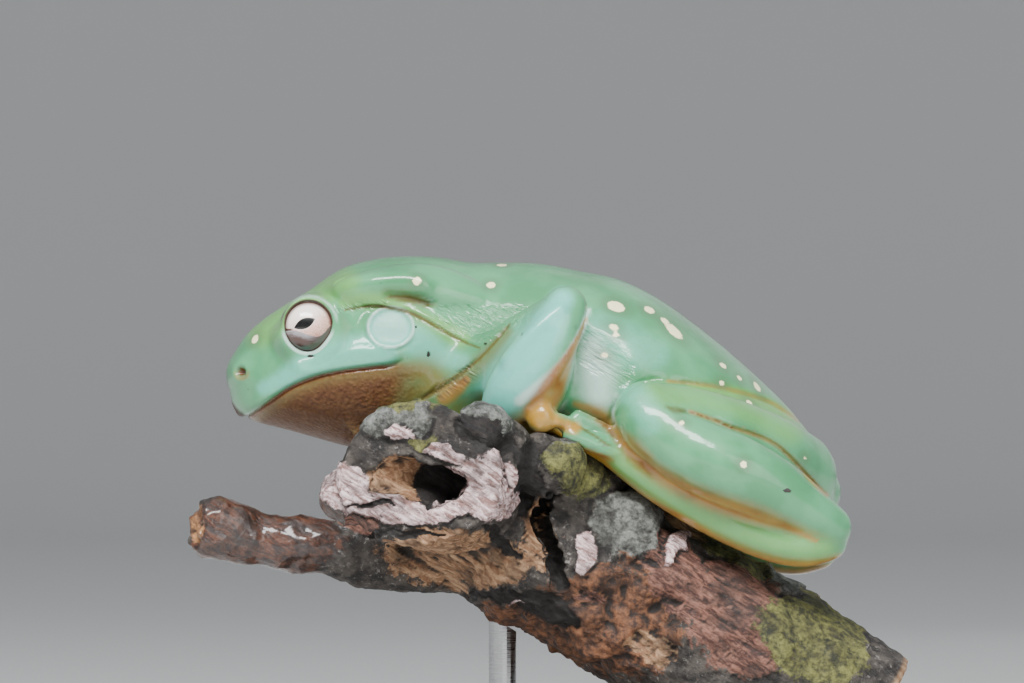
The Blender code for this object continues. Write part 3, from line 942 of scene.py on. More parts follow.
@dataclass(frozen=True)
class LidFinish(Finish):
    """The dark, moist third lid that lies over the lower part of the eye."""

    name: str = "third_lid"
    slot: str = "skin"
    # The silver along the lid's upper edge is a painted reflection.
    silver_reflection: Row = (0.34, 0.31, 0.33)
    brown: Row = (0.075, 0.028, 0.020)
    dark: Row = (0.020, 0.010, 0.010)

    def dress(self, graph: Graph) -> None:
        """Wires the lid's nodes, silvery along its edge as a painted reflection, and brown below."""
        x, y, _ = graph.parts(graph.add("UVMap", uv_map="iris").outputs[0])
        streaks = graph.grain(0.5, 3.0, 0.6, graph.stretched((0.3, 1.0, 1.0)))
        wave = graph.times(graph.minus(streaks, 0.5), 1.2)
        drop = graph.plus(graph.times(x, 0.28), y)
        level = graph.minus(wave, drop)
        # Painted reflection: silver towards the lid's upper left edge, brown lower down and to the right.
        colour = graph.blend(graph.span(level, 1.5, 2.6), self.silver_reflection, self.brown)
        colour = graph.blend(graph.span(level, 2.9, 3.9), colour, self.dark)
        colour = graph.blend(graph.span(x, -0.4, 1.8, 0.0, 0.85), colour, self.brown)
        graph.set(
            Base_Color=colour,
            Roughness=0.3,
            Coat_Weight=0.9,
            Coat_Roughness=0.05,
            Normal=graph.bump(streaks, 0.03, 0.4),
        )


@dataclass(frozen=True)
class BarkFinish(Finish):
    """Old bark and bare wood, with lichen, moss, dark bark and dark hollows, whose darkness is partly
    painted shade.

    Each layer has the name of the patch it lies on, its darker and its lighter colour, and 1 where
    it is made of crumbs or 0 where it is made of long fibres.
    """

    name: str = "branch_bark"
    slot: str = "bark"
    dark: Row = (0.008, 0.006, 0.005)
    crust: Row = (0.075, 0.064, 0.055)
    ash: Row = (0.27, 0.25, 0.23)
    lump_size: float = 2.6
    fibre_size: float = 0.8
    crumb_size: float = 0.9
    edge_size: float = 1.6
    stain_size: float = 5.0
    ring_share: float = 4.2
    cut_wood: tuple[Row, Row] = ((0.20, 0.11, 0.055), (0.33, 0.21, 0.12))
    layers: tuple[tuple[str, Row, Row, float], ...] = (
        ("rust", (0.022, 0.009, 0.006), (0.24, 0.10, 0.045), 1.0),
        ("tan", (0.20, 0.095, 0.045), (0.44, 0.27, 0.15), 0.0),
        ("mauve", (0.055, 0.021, 0.015), (0.25, 0.115, 0.080), 0.0),
        ("grey", (0.020, 0.020, 0.017), (0.21, 0.22, 0.20), 1.0),
        ("moss", (0.014, 0.016, 0.006), (0.19, 0.19, 0.055), 1.0),
        ("pale", (0.24, 0.13, 0.115), (0.86, 0.68, 0.68), 0.0),
        ("snag", (0.016, 0.005, 0.003), (0.105, 0.034, 0.014), 0.0),
        ("knob", (0.10, 0.032, 0.012), (0.50, 0.24, 0.09), 1.0),
        # Darkest layer: partly dark bark, partly painted shade in the stub's hollow, the rift and the gaps
        # between slivers and lumps.
        ("dark_bark_and_shade", (0.003, 0.002, 0.002), (0.014, 0.010, 0.008), 0.0),
    )

    def dress(self, graph: Graph) -> None:
        """Wires the bark's nodes."""
        lumps = graph.grain(self.lump_size, 6.0, 0.66)
        slanted = graph.stretched((0.22, 1.0, 1.0), (0.0, BRANCH_TILT, 0.0))
        fibres = graph.grain(self.fibre_size, 5.0, 0.65, slanted, 0.6)
        crumbs = graph.grain(self.crumb_size, 5.0, 0.7)
        clumps = graph.times(graph.plus(crumbs, lumps), 0.5)
        colour = graph.blend(graph.span(lumps, 0.40, 0.60), self.dark, self.crust)
        colour = graph.blend(graph.span(crumbs, 0.56, 0.70, 0.0, 0.8), colour, self.ash)
        edge = graph.times(graph.minus(graph.grain(self.edge_size, 6.0, 0.75), 0.5), 2.4)
        for word, low, high, crumbly in self.layers:
            layer = graph.blend(graph.span(clumps if crumbly else fibres, 0.38, 0.64), low, high)
            share = graph.span(graph.plus(graph.mask(word), edge), 0.36, 0.60)
            colour = graph.blend(share, colour, layer)
        stain = graph.span(graph.grain(self.stain_size, 4.0, 0.6), 0.46, 0.64, 0.0, 0.6)
        colour = graph.blend(stain, colour, self.dark)
        # Painted shade: the bark darkens where it lies deep among its neighbours.
        colour = graph.blend(graph.span(graph.mask("cavity"), 0.0, 0.7, 0.0, 0.95), colour, self.dark)
        sawn = graph.mask("sawn")
        bent = graph.plus(graph.mask("ring"), graph.times(lumps, 1.6))
        rings = graph.math_node("SINE", graph.times(bent, self.ring_share))
        colour = graph.blend(sawn, colour, graph.blend(graph.span(rings, -1.0, 1.0), *self.cut_wood))
        rough = graph.span(sawn, 0.0, 1.0, 0.8, 0.1)
        coarse = graph.bump(lumps, 0.8, rough)
        fine = graph.bump(fibres, 0.45, rough, coarse)
        sheen = graph.mask("snag")
        dry = graph.span(lumps, 0.3, 0.7, 0.60, 0.92)
        graph.set(
            Base_Color=colour,
            Roughness=graph.minus(dry, graph.times(sheen, 0.35)),
            Normal=graph.bump(crumbs, 0.25, 0.7, fine),
            Coat_Weight=graph.times(sheen, 0.8),
            Coat_Roughness=0.14,
        )


@dataclass(frozen=True)
class StainedWood(Finish):
    """Dark stained, satin wood of the stand's plate."""

    name: str = "stained_wood"
    slot: str = "base"
    dark: Row = (0.014, 0.009, 0.007)
    light: Row = (0.050, 0.028, 0.018)
    streak_size: float = 26.0
    fibre_size: float = 3.0
    pore_size: float = 0.5

    def dress(self, graph: Graph) -> None:
        """Wires the wood's nodes."""
        streaks = graph.grain(self.streak_size, 2.0, 0.5, graph.stretched((0.25, 1.0, 1.0)))
        fibres = graph.grain(self.fibre_size, 5.0, 0.6, graph.stretched((0.05, 1.0, 1.0)), 0.8)
        pores = graph.grain(self.pore_size, 2.0, 0.6, graph.stretched((0.06, 1.0, 1.0)))
        colour = graph.blend(graph.span(fibres, 0.32, 0.68), self.dark, self.light)
        colour = graph.blend(graph.span(streaks, 0.4, 0.7, 0.0, 0.5), colour, self.dark)
        graph.set(
            Base_Color=colour,
            Roughness=graph.span(pores, 0.35, 0.7, 0.34, 0.46),
            Normal=graph.bump(pores, 0.05, 0.4),
            Coat_Weight=0.25,
            Coat_Roughness=0.2,
        )


@dataclass(frozen=True)
class BrushedSteel(Finish):
    """Brushed steel of the stand's rods, its lines running round them."""

    name: str = "brushed_rod"
    slot: str = "rod"
    colour: Row = (0.52, 0.52, 0.53)
    line_size: float = 0.16

    def dress(self, graph: Graph) -> None:
        """Wires the steel's nodes."""
        lines = graph.grain(self.line_size, 2.0, 0.5, graph.stretched((0.04, 0.04, 1.0)))
        graph.set(
            Base_Color=self.colour,
            Metallic=1.0,
            Roughness=graph.span(lines, 0.3, 0.7, 0.24, 0.38),
            Normal=graph.bump(lines, 0.02, 0.5),
        )


@dataclass(frozen=True)
class FloorFinish(Finish):
    """A plain pale floor."""

    name: str = "pale_floor"
    slot: str = ""
    colour: Row = (0.66, 0.66, 0.65)

    def dress(self, graph: Graph) -> None:
        """Wires the floor's nodes."""
        graph.set(Base_Color=self.colour, Roughness=0.85)


@dataclass
class Perch:
    """The broken branch: its limb, the snag at its left, the hollow stub in front, and burls."""

    voxel: float = 0.5
    limb: Table = (
        (-38, -2, 61.6, 3.4, 3), (-35, -2, 61, 9, 6), (-30.4, -1.6, 59.4, 14, 8),
        (-24, -1.2, 57.6, 18, 10.4), (-16.5, -1, 56.4, 21.6, 12.8), (-11, -1, 54.6, 23.6, 14.2),
        (-5, -1, 51.5, 24.4, 14.5), (2.5, -1, 47.4, 24.6, 14.5), (10.4, -1, 42.9, 24.4, 14.4),
        (18.4, -1, 38.3, 24.2, 14.3), (26.4, -1, 33.6, 23.8, 14.2), (34.4, -1, 28.6, 23.4, 14),
        (43.4, -1, 22.9, 23, 13.8),
    )
    limb_power: float = 2.9
    snag: Table = (
        (-20, -8, 51.4, 6.4, 6.2), (-33.6, -10, 51.2, 5, 5.1), (-46.4, -12.6, 53.4, 4.2, 4.7),
        (-54, -14.2, 54.2, 4.1, 4.6), (-59.9, -15.6, 55.8, 4.6, 5.2),
    )
    stub: Table = (
        (-20, -12, 58, 11.4, 8.4), (-22.6, -22.4, 59.4, 11.8, 8), (-24.2, -28, 61.8, 12, 9.4),
        (-26.2, -32.4, 63.8, 13, 11), (-26.8, -36.9, 64.4, 12.4, 10.8),
    )
    burls: Table = (
        (-4, -15.5, 60.6, 10, 8.5, 8.6), (-19, 13, 57.4, 14.5, 11.5, 9.4),
        (-36.8, -29, 61, 6.4, 5.2, 4.6), (-11.2, -15, 63.6, 6.6, 6.4, 6.8),
        (5.4, -18.2, 56.2, 5.8, 5, 5.4), (-17.4, -32.4, 70.6, 4.3, 4.4, 4.5),
        (-13.4, -30.6, 67.2, 4.8, 4, 5.6), (-7.8, -26.8, 66, 6, 4.6, 5.2),
        (-60, -13.6, 57.4, 3.2, 3.2, 3.4),
    )
    sawn_margin: float = 0.5
    hollow: Row = (419.0, 482.0, 49.0, 26.0, 4.0)
    hollow_depth: Row = (4.6, 6.6, 0.3)
    rift: Table = ((557, 486), (550, 506), (548, 532), (552, 560), (563, 586))
    rift_depth: Row = (-1.2, 4.0, 0.0)
    slivers: Row = (396.0, 516.0, 62.0, 26.0, 4.0)
    lump_size: float = 8.0
    lump_depth: float = 0.9
    crack_size: float = 3.0
    crack_depth: float = 0.45
    fibre_size: Row = (6.5, 2.2, 0.85)
    fibre_depth: float = 0.55
    crumb_size: float = 4.6
    crumb_depth: float = 1.7
    raggedness: Table = ((4.5, 9), (1.7, 4))
    fine_hollow: float = -0.5
    fine_slivers: float = -0.2
    fine_rift: float = 12.0
    far_seed: int = 7
    far_shift: Row = (60.0, 10.0)
    places: dict[str, Table] = field(
        default_factory=lambda: {
            "pale": (
                (492, 487, 27, 36, 0), (398, 512, 50, 14, 6), (345, 487, 27, 27, 0), (400, 434, 14, 8, 0),
                (584, 553, 12, 22, 8), (446, 452, 22, 7, 10), (520, 602, 24, 6, 20),
                (676, 548, 9, 22, 35),
            ),
            "tan": (
                (396, 480, 36, 25, 0), (458, 558, 82, 32, 6), (540, 537, 17, 42, 0),
                (690, 520, 40, 14, 34), (855, 590, 60, 16, 34), (655, 650, 30, 16, 10),
            ),
            "mauve": (
                (676, 574, 32, 52, -24), (738, 618, 54, 66, -30), (360, 520, 20, 12, 0),
                (590, 600, 14, 9, 0),
            ),
            "grey": (
                (396, 420, 40, 20, -6), (626, 524, 38, 36, 20), (486, 424, 26, 18, 30),
                (574, 462, 32, 26, 30), (784, 574, 26, 18, 30),
            ),
            "moss": (
                (416, 405, 46, 9, -6), (422, 444, 17, 8, 0), (576, 470, 40, 24, 34),
                (812, 642, 66, 46, 30), (738, 556, 40, 10, 34),
            ),
            "rust": (
                (612, 622, 82, 62, 10), (500, 640, 60, 40, 0), (640, 562, 24, 12, 30),
            ),
            # Partly dark bark, partly painted shade in the stub's hollow, between slivers and under lumps.
            "dark_bark_and_shade": (
                (440, 484, 26, 22, 0), (502, 543, 26, 8, 44), (404, 533, 42, 4, 6),
                (372, 504, 28, 3.4, 8), (528, 478, 14, 44, 4), (508, 597, 56, 7, 2),
                (548, 616, 34, 15, 10), (486, 436, 40, 14, 20),
            ),
            "snag": ((262.0, 534.0, 88.0, 58.0, 0.0),),
            "knob": ((190.0, 524.0, 15.0, 28.0, 0.0),),
        }
    )
    raised: dict[str, float] = field(
        default_factory=lambda: {
            "pale": 0.75,
            "mauve": 0.5,
            "grey": 0.7,
            "moss": 0.35,
            "tan": -0.35,
            "dark_bark_and_shade": -0.6,
        }
    )
    clay: Clay = field(init=False)

    def build(self, finish: Finish) -> None:
        """Models the branch.

        Args:
            finish: The bark's finish.
        """
        self.clay = Clay(self._forms(), self.voxel)
        self.clay.relax(3)
        self._carve()
        patches = self._patches()
        self._roughen(patches)
        # Painted shade in the bark's hollows, from how deep each point lies.
        patches["cavity"] = np.clip(self.clay.hollowness() / 0.30, 0.0, 1.0)
        piece = self.clay.finished("bark", finish, patches)
        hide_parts("perch")

    def _forms(self) -> BMesh:
        """Joins the branch's plain forms."""
        bm = bmesh.new()
        add_tube(bm, Course(self.limb), 60, 64, self.limb_power, blunt_end=True)
        add_tube(bm, Course(self.stub), 24, 48, side_axis=(1.0, 0.0, 0.0), blunt_end=True)
        add_tube(bm, Course(self.snag), 30, 32)
        for row in self.burls:
            add_ball(bm, row[:3], row[3:])
        return bm

    def _warped(self) -> Array:
        """The points' pixels, shifted about by noise so that ovals come out ragged."""
        seen = PHOTO.seen(self.clay.points)
        for size, reach in self.raggedness:
            places = (Vector(point) / size for point in self.clay.points)
            seen = seen + noise_at(noise.noise_vector, places)[:, :2] * reach
        return seen

    def _carve(self) -> None:
        """Hollows the stub's end, and opens the curved rift to its right."""
        clay = self.clay
        plain = PHOTO.seen(clay.points)
        front = (clay.points[:, 1] < -10.0) & (clay.normals[:, 1] < -0.1)
        near = blob_field(plain, self.hollow) > self.fine_hollow
        near |= blob_field(plain, self.slivers) > self.fine_slivers
        near |= line_gap(plain, self.rift) < self.fine_rift
        clay.refine(near & front)
        clay.relax(1)
        seen = self._warped()
        front = ramp(clay.normals[:, 1], -0.05, -0.35) * ramp(clay.points[:, 1], -8.0, -12.0)
        deep = ramp(blob_field(seen, self.hollow), 0.04, 0.42) * front
        clay.points = clay.points + np.outer(deep, self.hollow_depth)
        apart, along = line_field(seen, self.rift)
        ends = ramp(along, 0.0, 0.2) * ramp(along, 1.0, 0.8)
        deep = ramp(np.abs(apart), 8.0, 3.0) * ends * front
        clay.points = clay.points + np.outer(deep, self.rift_depth)
        clay.relax(2)

    def _roughen(self, patches: dict[str, Array]) -> None:
        """Works lumps, cracks and fibres into the surface, but leaves the sawn end flat.

        Args:
            patches: Where each kind of surface lies.
        """
        points = self.clay.points
        places = [Vector(point) for point in points]
        lumps = noise_at(noise.fractal, (p / self.lump_size for p in places), 0.9, 2.1, 4)
        ridges = (p / self.crack_size for p in places)
        ridges = noise_at(noise.ridged_multi_fractal, ridges, 0.9, 2.0, 3, 0.9, 2.0)
        cracks = np.clip(1.2 - ridges / 1.6, -1.0, 1.0)
        turn = np.array(Matrix.Rotation(math.radians(BRANCH_TILT), 3, "Y"))
        laid = points @ turn.T / np.array(self.fibre_size)
        fibres = noise_at(noise.ridged_multi_fractal, map(Vector, laid), 0.8, 2.1, 3, 0.9, 2.0)
        wood = np.clip(patches["pale"] + patches["tan"] + patches["mauve"], 0.25, 1.0)
        rise = lumps * self.lump_depth - cracks * self.crack_depth * 0.5
        rise = rise + (np.clip(fibres / 1.4, 0.0, 1.6) - 0.8) * self.fibre_depth * wood
        crumbs = noise_at(noise.turbulence, (p / self.crumb_size for p in places), 3, False)
        crumbly = np.clip(patches["rust"] + patches["knob"], 0.0, 1.0)
        rise = rise + (crumbs - 0.5) * self.crumb_depth * crumbly
        for word, height in self.raised.items():
            rise = rise + height * ramp(patches[word], 0.25, 0.50)
        end, along = self._sawn_end()
        kept = ramp((points - end) @ along, -self.sawn_margin, -2.5)
        inside = ramp(blob_field(PHOTO.seen(points), self.hollow), 0.5, 0.1)
        self.clay.push(rise * kept * (0.35 + 0.65 * inside))

    def _patches(self) -> dict[str, Array]:
        """Where each kind of bark, wood and growth lies, with painted shade in the hollow, the rift and
        the gaps between slivers.

        Returns:
            One number a point for each kind, from 0 to 1.
        """
        seen = self._warped()
        front = ramp(self.clay.points[:, 1], 2.0, -4.0)
        rng = np.random.default_rng(self.far_seed)
        wide, high = self.far_shift
        made = {}
        for word, table in self.places.items():
            value = np.zeros(len(seen))
            for blob in table:
                value = np.maximum(value, ramp(blob_field(seen, blob), -0.15, 0.35) * front)
                moved = (blob[0] + rng.uniform(-wide, wide), blob[1] + rng.uniform(-high, high), *blob[2:])
                value = np.maximum(value, ramp(blob_field(seen, moved), -0.15, 0.35) * (1 - front))
            made[word] = value
        # The rift is darkened along its length as painted shade.
        apart, along = line_field(seen, self.rift)
        rift = ramp(np.abs(apart), 8.0, 4.0)
        rift = rift * ramp(along, 0.0, 0.1) * ramp(along, 1.0, 0.9)
        made["dark_bark_and_shade"] = np.maximum(made["dark_bark_and_shade"], rift * front)
        ring = ramp(np.abs(blob_field(seen, self.hollow) + 0.22), 0.40, 0.20)
        low = (seen - np.array(self.hollow[:2])) / np.array(self.hollow[2:4]) @ np.array((0.6, 0.8))
        made["pale"] = np.maximum(made["pale"], ring * ramp(low, -0.5, 0.1) * front)
        end, along = self._sawn_end()
        rest = self.clay.points - end
        made["sawn"] = ramp(rest @ along, -1.3, -0.5)
        made["ring"] = lengths(rest - np.outer(rest @ along, along))
        return made

    def _sawn_end(self) -> tuple[Array, Array]:
        """The middle of the limb's sawn end, and the direction that it faces."""
        end, before = (np.array(self.limb[k][:3]) for k in (-1, -2))
        return end, (end - before) / np.linalg.norm(end - before)


@dataclass(frozen=True)
class Stroke:
    """A brush stroke over the photograph's near side, as pixels and half widths along it."""

    mask: Mask
    pixels: Table
    strength: float = 1.0
    softness: float = 0.6

    def share(self, seen: Array) -> Array:
        """How strongly the stroke covers points of the photograph.

        Args:
            seen: Pixel coordinates, one pair a row.

        Returns:
            One number a point, from 0 to the stroke's strength.
        """
        distance, along = line_field(seen, self.pixels)
        half = smooth_line(self.pixels)[:, 2]
        widths = np.interp(along, np.linspace(0.0, 1.0, len(half)), half)
        outer, inner = widths * (1 + self.softness), widths * (1 - self.softness)
        return self.strength * ramp(np.abs(distance), outer, inner)


@dataclass(frozen=True)
class Fold:
    """A crease or ridge in the skin, along pixels of the photograph.

    depth is how far the crease sinks and above and below how far its two sides swell, each with
    its own width, all in millimetres.
    """

    pixels: Table
    depth: float = 0.0
    width: float = 0.3
    above: float = 0.0
    above_width: float = 1.5
    below: float = 0.0
    below_width: float = 1.5
    fade: float = 0.15

    def height(self, seen: Array) -> Array:
        """How far the fold moves points outward.

        Args:
            seen: Pixel coordinates, one pair a row.

        Returns:
            Millimetres, one number a point.
        """
        distance, along = line_field(seen, self.pixels)
        distance = distance * PHOTO.step
        ends = ramp(along, 0.0, self.fade) * ramp(along, 1.0, 1.0 - self.fade)
        upper = np.where(distance > 0, np.exp(-distance / self.above_width), np.exp(distance / self.width))
        lower = np.where(distance < 0, np.exp(distance / self.below_width), np.exp(-distance / self.width))
        crease = hump(distance, self.width)
        return ends * (self.above * upper + self.below * lower - self.depth * crease)


@dataclass
class Frog:
    """The frog's skin in one piece."""

    voxel: float = 0.605
    snout_x: float = -57.8
    seat_z: float = 62.0
    body_width: float = 45.2
    back_power: float = 2.35
    belly_power: float = 2.25
    body: Table = (
        (0, 15.4, 15.1, 14.8, 0.012), (0.3, 18, 15.2, 12.9, 0.160), (1, 20.9, 15.4, 12, 0.280),
        (2.6, 24.1, 15.9, 11.1, 0.395), (5.4, 26.8, 16.7, 10.2, 0.510), (9.1, 29.3, 17.6, 9.3, 0.610),
        (13.1, 31.7, 18.5, 8.2, 0.690), (16.3, 34, 19.2, 7.3, 0.752), (19.5, 35.6, 19.9, 6.5, 0.798),
        (24.3, 36.7, 20.6, 6, 0.842), (29.1, 37, 20.9, 6, 0.854), (33.9, 36.8, 20.3, 6.6, 0.844),
        (38.7, 36, 19.2, 7.4, 0.838), (43.5, 36, 18.1, 8, 0.860), (49.9, 35.8, 17.3, 7.9, 0.920),
        (56.3, 34.6, 16.2, 4.9, 0.972), (62.7, 33.2, 14.6, 1.2, 1.000), (69.1, 30, 12.1, -2, 0.985),
        (75.5, 25.4, 9, -4.9, 0.915), (81.9, 20.1, 5.5, -7.3, 0.785), (88.3, 14.1, 1.8, -8.8, 0.610),
        (91.5, 10.4, 0.3, -8.7, 0.505), (94.7, 6.3, -0.6, -7.4, 0.365), (96.6, 3.2, -0.7, -5.2, 0.235),
        (97.7, 0.6, -0.4, -2, 0.100), (98, -0.2, -0.3, -0.4, 0.010),
    )
    limbs: dict[str, Table] = field(
        default_factory=lambda: {
            "upper_arm": (
                (-23.4, -13.2, 77, 5.2, 5.4), (-18.2, -17.4, 80.2, 4.8, 5.2),
                (-13.6, -20.4, 83.2, 4.2, 4.6), (-9, -22.6, 86.6, 3.9, 4.2),
                (-5.6, -23.6, 89.2, 3.6, 3.8),
            ),
            "forearm": (
                (-4, -25.4, 90.9, 3.4, 3.7), (-5.9, -26.6, 87, 4, 4.5), (-8.8, -26.8, 82.1, 4.3, 5),
                (-12.2, -25.4, 77.3, 4, 4.7), (-14.6, -22.8, 72.9, 3.1, 3.4),
            ),
            "hand": (
                (-15.2, -21.8, 71.4, 3, 2.6), (-18.4, -19, 69.6, 3.7, 2), (-21.6, -17.4, 69, 3.6, 1.4),
            ),
            "thigh": (
                (31.5, -7.5, 63, 7.4, 8.4), (27.2, -14.6, 66.2, 7.2, 7.9), (20.8, -20.2, 69.6, 6.8, 7.1),
                (14.4, -23.6, 72.2, 6, 6.3), (9.6, -25.2, 73.5, 5.2, 5.6),
            ),
            "shank": (
                (9.6, -27.2, 72.7, 5, 5.4), (16, -28.8, 67.9, 5.4, 5.7), (22.4, -28.8, 65, 5.4, 5.8),
                (28.6, -27.2, 61.9, 4.9, 5.2), (34.2, -25, 58.2, 4.1, 4.2), (37.4, -23.2, 56, 3.6, 3.7),
            ),
            "foot": (
                (37.2, -22.6, 54.4, 3.2, 3.7), (33, -23.8, 53.6, 3.5, 3.8), (27.2, -24, 54.9, 3.8, 3.8),
                (19.2, -23.6, 58.6, 4.1, 3.8), (11.2, -22.6, 63.1, 4.4, 3.5),
                (4.8, -21.4, 66.9, 4.2, 2.6), (0.6, -20.4, 69, 3.8, 1.4),
            ),
        }
    )
    far_drops: dict[str, tuple[float, float]] = field(
        default_factory=lambda: {"shank": (0.0, 2.4), "foot": (2.4, 0.0)}
    )
    fingers: Table = (
        (-17.2, -17.4, 69.4, -20.8, -12.8, 69.2), (-20.6, -16.4, 69, -28.8, -13.6, 67.4),
        (-21.2, -17.8, 68.9, -31.4, -18.4, 67.2), (-20.4, -19.6, 68.9, -28.6, -22, 67.9),
    )
    toes: Table = (
        (14.6, -16.8, 60, 7.2, -16.4, 64.6), (9.4, -17, 63.4, 1, -17.6, 68.6),
        (5, -17.6, 66.2, -4.6, -18.4, 71.6), (4.4, -19.4, 66.4, -8.8, -20.6, 72.6),
        (5, -21.2, 65.8, -4.2, -23.2, 70.2),
    )
    knuckles: Table = ((0, 1.15), (0.3, 1), (0.52, 1.16), (0.75, 0.96), (1, 0.92))
    disc_turns: Row = (-50, -30, -10, 12, 34, 56, 76)
    digit_radius: float = 1.1
    disc_radius: float = 2.1
    disc_half_thickness: float = 0.95
    gland: Table = (
        (-39.4, -11.2, 92, 2.2, 2.2), (-36, -12.6, 92.8, 4.6, 3.4), (-30.4, -12.9, 93.3, 5.8, 4.4),
        (-24.4, -12.6, 92.8, 5.6, 4.6), (-18.6, -12.4, 91.2, 4.4, 3.6), (-14.2, -12.6, 89.6, 2.4, 2.2),
    )
    eye: Row = (-44.8, -12.3, 87.8)
    eye_radius: float = 4.5
    eye_look: Row = (0.03, -1.0, 0.0)
    brow: tuple[Row, Row] = ((-44.0, -9.2, 87.3), (5.4, 5.4, 5.9))
    knee_balls: Table = ((8.9, -26, 74, 5.4, 5, 5.3), (13.6, -26.2, 72.6, 4.8, 4.6, 4.8))
    arm_fold_form: Table = (
        (-5.2, -24.6, 86.5, 2.8, 2.8), (-5.9, -24.8, 82.5, 3.3, 3.6), (-7.3, -23.6, 78, 3.5, 3.6),
        (-9.2, -21.4, 74.2, 3.2, 3.2), (-11.5, -20, 71.5, 2.6, 2.4),
    )
    toe_bulbs: Table = ((-7.9, -27, 73.4, 2.3, 1.8, 2.55), (-5.4, -27.2, 72.5, 0.8, 0.8, 0.75))
    toe_shafts: Table = (
        (1, -22.6, 70.2, -5.2, -26.2, 73, 1.25), (5.4, -24.4, 67.4, -3.2, -25.8, 70.4, 1.45),
        (4.4, -23.2, 70.4, -2.2, -24.6, 73.6, 1.10),
    )
    eye_pixel: Row = (309.6, 326.5)
    eye_opening: Row = (3.66, 3.86, 3.98)
    lid_heights: Row = (0.50, 0.30)
    lid_widths: Row = (2.3, 3.4)
    ear_pixel: Row = (390.8, 327.2, 22.6, 19.8, 0.0)
    ear_ring: Row = (0.32, 0.24)
    nostril_pixel: Row = (241.6, 372.2)
    wrinkle_depth: float = 0.30
    wrinkle_size: Row = (6.0, 2.5, 1.1)
    wrinkle_tilt: float = -34.0
    snout_waves: Table = ((0.75, 81, 3), (-0.35, 76.6, 1.8), (-0.85, 73.8, 1.3), (1.1, 71.7, 1.4))
    fine_eye: float = 44.0
    fine_ear: float = 0.32
    fine_nostril: float = 13.0
    fine_mouth: float = 9.0
    fine_ear_fold: float = 6.5
    fine_fold: float = 6.0
    fine_leg: float = 5.5
    fine_wrinkles: float = 0.15
    fine_lids: float = 1.1
    mouth: Table = (
        (235, 421), (245.5, 417.2), (254.4, 412.6), (271, 400.8), (289.5, 387.9), (313.5, 377.7),
        (339.4, 371.6), (367, 367.9), (387.5, 365.7), (400.4, 362), (406.9, 357.4),
    )
    ear_fold: Table = (
        (333, 310.5), (352, 309.5), (373, 306), (395, 309), (417, 316), (439, 328), (460, 340),
        (482, 349),
    )
    arm_fold: Table = (
        (512, 320), (497, 338), (480, 356), (465, 370.5), (450, 382), (435, 392), (419, 401),
    )
    chest_fold: Table = ((473, 366), (455, 374), (440, 384), (428, 394), (419, 401))
    gland_groove: Table = ((380, 297), (397, 298), (415, 300.5), (437, 307.5))
    gland_ridge: Table = ((323, 296), (347, 286), (380, 280.5), (412, 280), (438, 292))
    cheek_ridge: Table = ((288, 372), (322, 360), (350, 352.5), (380, 350), (410, 350))
    drum_ridge: Table = ((354, 334), (362, 318), (374, 309))
    forearm_ridge: Table = ((571, 299), (541, 325), (516, 350), (498, 370))
    leg_crease: Table = (
        (671, 409), (690, 411.5), (714, 420), (732, 427.5), (756, 435), (778, 446), (796, 463),
        (812, 481), (827, 495),
    )
    hip_crease: Table = ((668, 381), (698, 384), (728, 389), (765, 400), (782, 409), (799, 421))
    knee_edge: Table = ((609, 432), (612, 413), (620, 398), (632, 387), (648, 380), (664, 379))
    clay: Clay = field(init=False)

    def build(self, finish: Finish, perch: Clay) -> None:
        """Models the skin.

        Args:
            finish: The skin's finish.
            perch: The branch that it must stay clear of.
        """
        clay = self.clay = Clay(self._forms(), self.voxel)
        clay.largest_only()
        clay.relax(4)
        self._soften_joins()
        self._sculpt()
        self._clear_of(perch)
        piece = clay.finished("skin", finish, SkinPaint(self).masks())
        flesh = ["head", "torso"]
        for side in Side:
            for word in ("ear", *self.limbs):
                flesh.append(f"{word}_{side.word}")
        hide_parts(*flesh)

    def limb(self, word: str, side: Side) -> Course:
        """The course of one length of a leg on one side."""
        start, end = self.far_drops.get(word, (0.0, 0.0))
        course = Course(self.limbs[word]).on_side(side, end)
        if side is Side.RIGHT and start:
            course = Course(tuple((x, y, z - start, *rest) for x, y, z, *rest in course.rows))
        return course

    def _forms(self) -> BMesh:
        """Joins the body's plain forms."""
        bm = bmesh.new()
        self._add_body(bm)
        for side in Side:
            for word in self.limbs:
                add_tube(bm, self.limb(word, side), 36, 36)
            for row in self.fingers:
                self._add_digit(bm, row, side, 0.0)
            for row in self.toes:
                self._add_digit(bm, row, side, self.far_drops["foot"][0])
            add_tube(bm, Course(self.gland).on_side(side), 30, 32)
            add_tube(bm, Course(self.arm_fold_form).on_side(side), 30, 32)
            middle, radii = self.brow
            add_ball(bm, side_point(middle, side), radii)
            for row in self.knee_balls:
                add_ball(bm, side_point(row[:3], side), row[3:])
        for row in self.toe_bulbs:
            add_ball(bm, row[:3], row[3:])
        for row in self.toe_shafts:
            add_tube(bm, Course(((*row[:3], row[6], row[6]), (*row[3:6], row[6], row[6]))), 12, 16)
        return bm

    def _add_body(self, bm: BMesh, steps: int = 130, sides: int = 96) -> None:
        """Adds head and trunk as one smooth form."""
        rings = []
        course = Course(self.body)
        for k in range(steps):
            behind, back, wide, belly, share = course.at(k / (steps - 1))
            half = self.body_width / 2 * share
            ring = []
            for n in range(sides):
                turn = 2 * math.pi * n / sides
                over = math.sin(turn) > 0
                power = self.back_power if over else self.belly_power
                reach = back - wide if over else wide - belly
                y = half * signed_root(math.cos(turn), power)
                z = self.seat_z + wide + reach * signed_root(math.sin(turn), power)
                ring.append(Vector((self.snout_x + behind, y, z)))
            rings.append(ring)
        skin_rings(bm, rings)

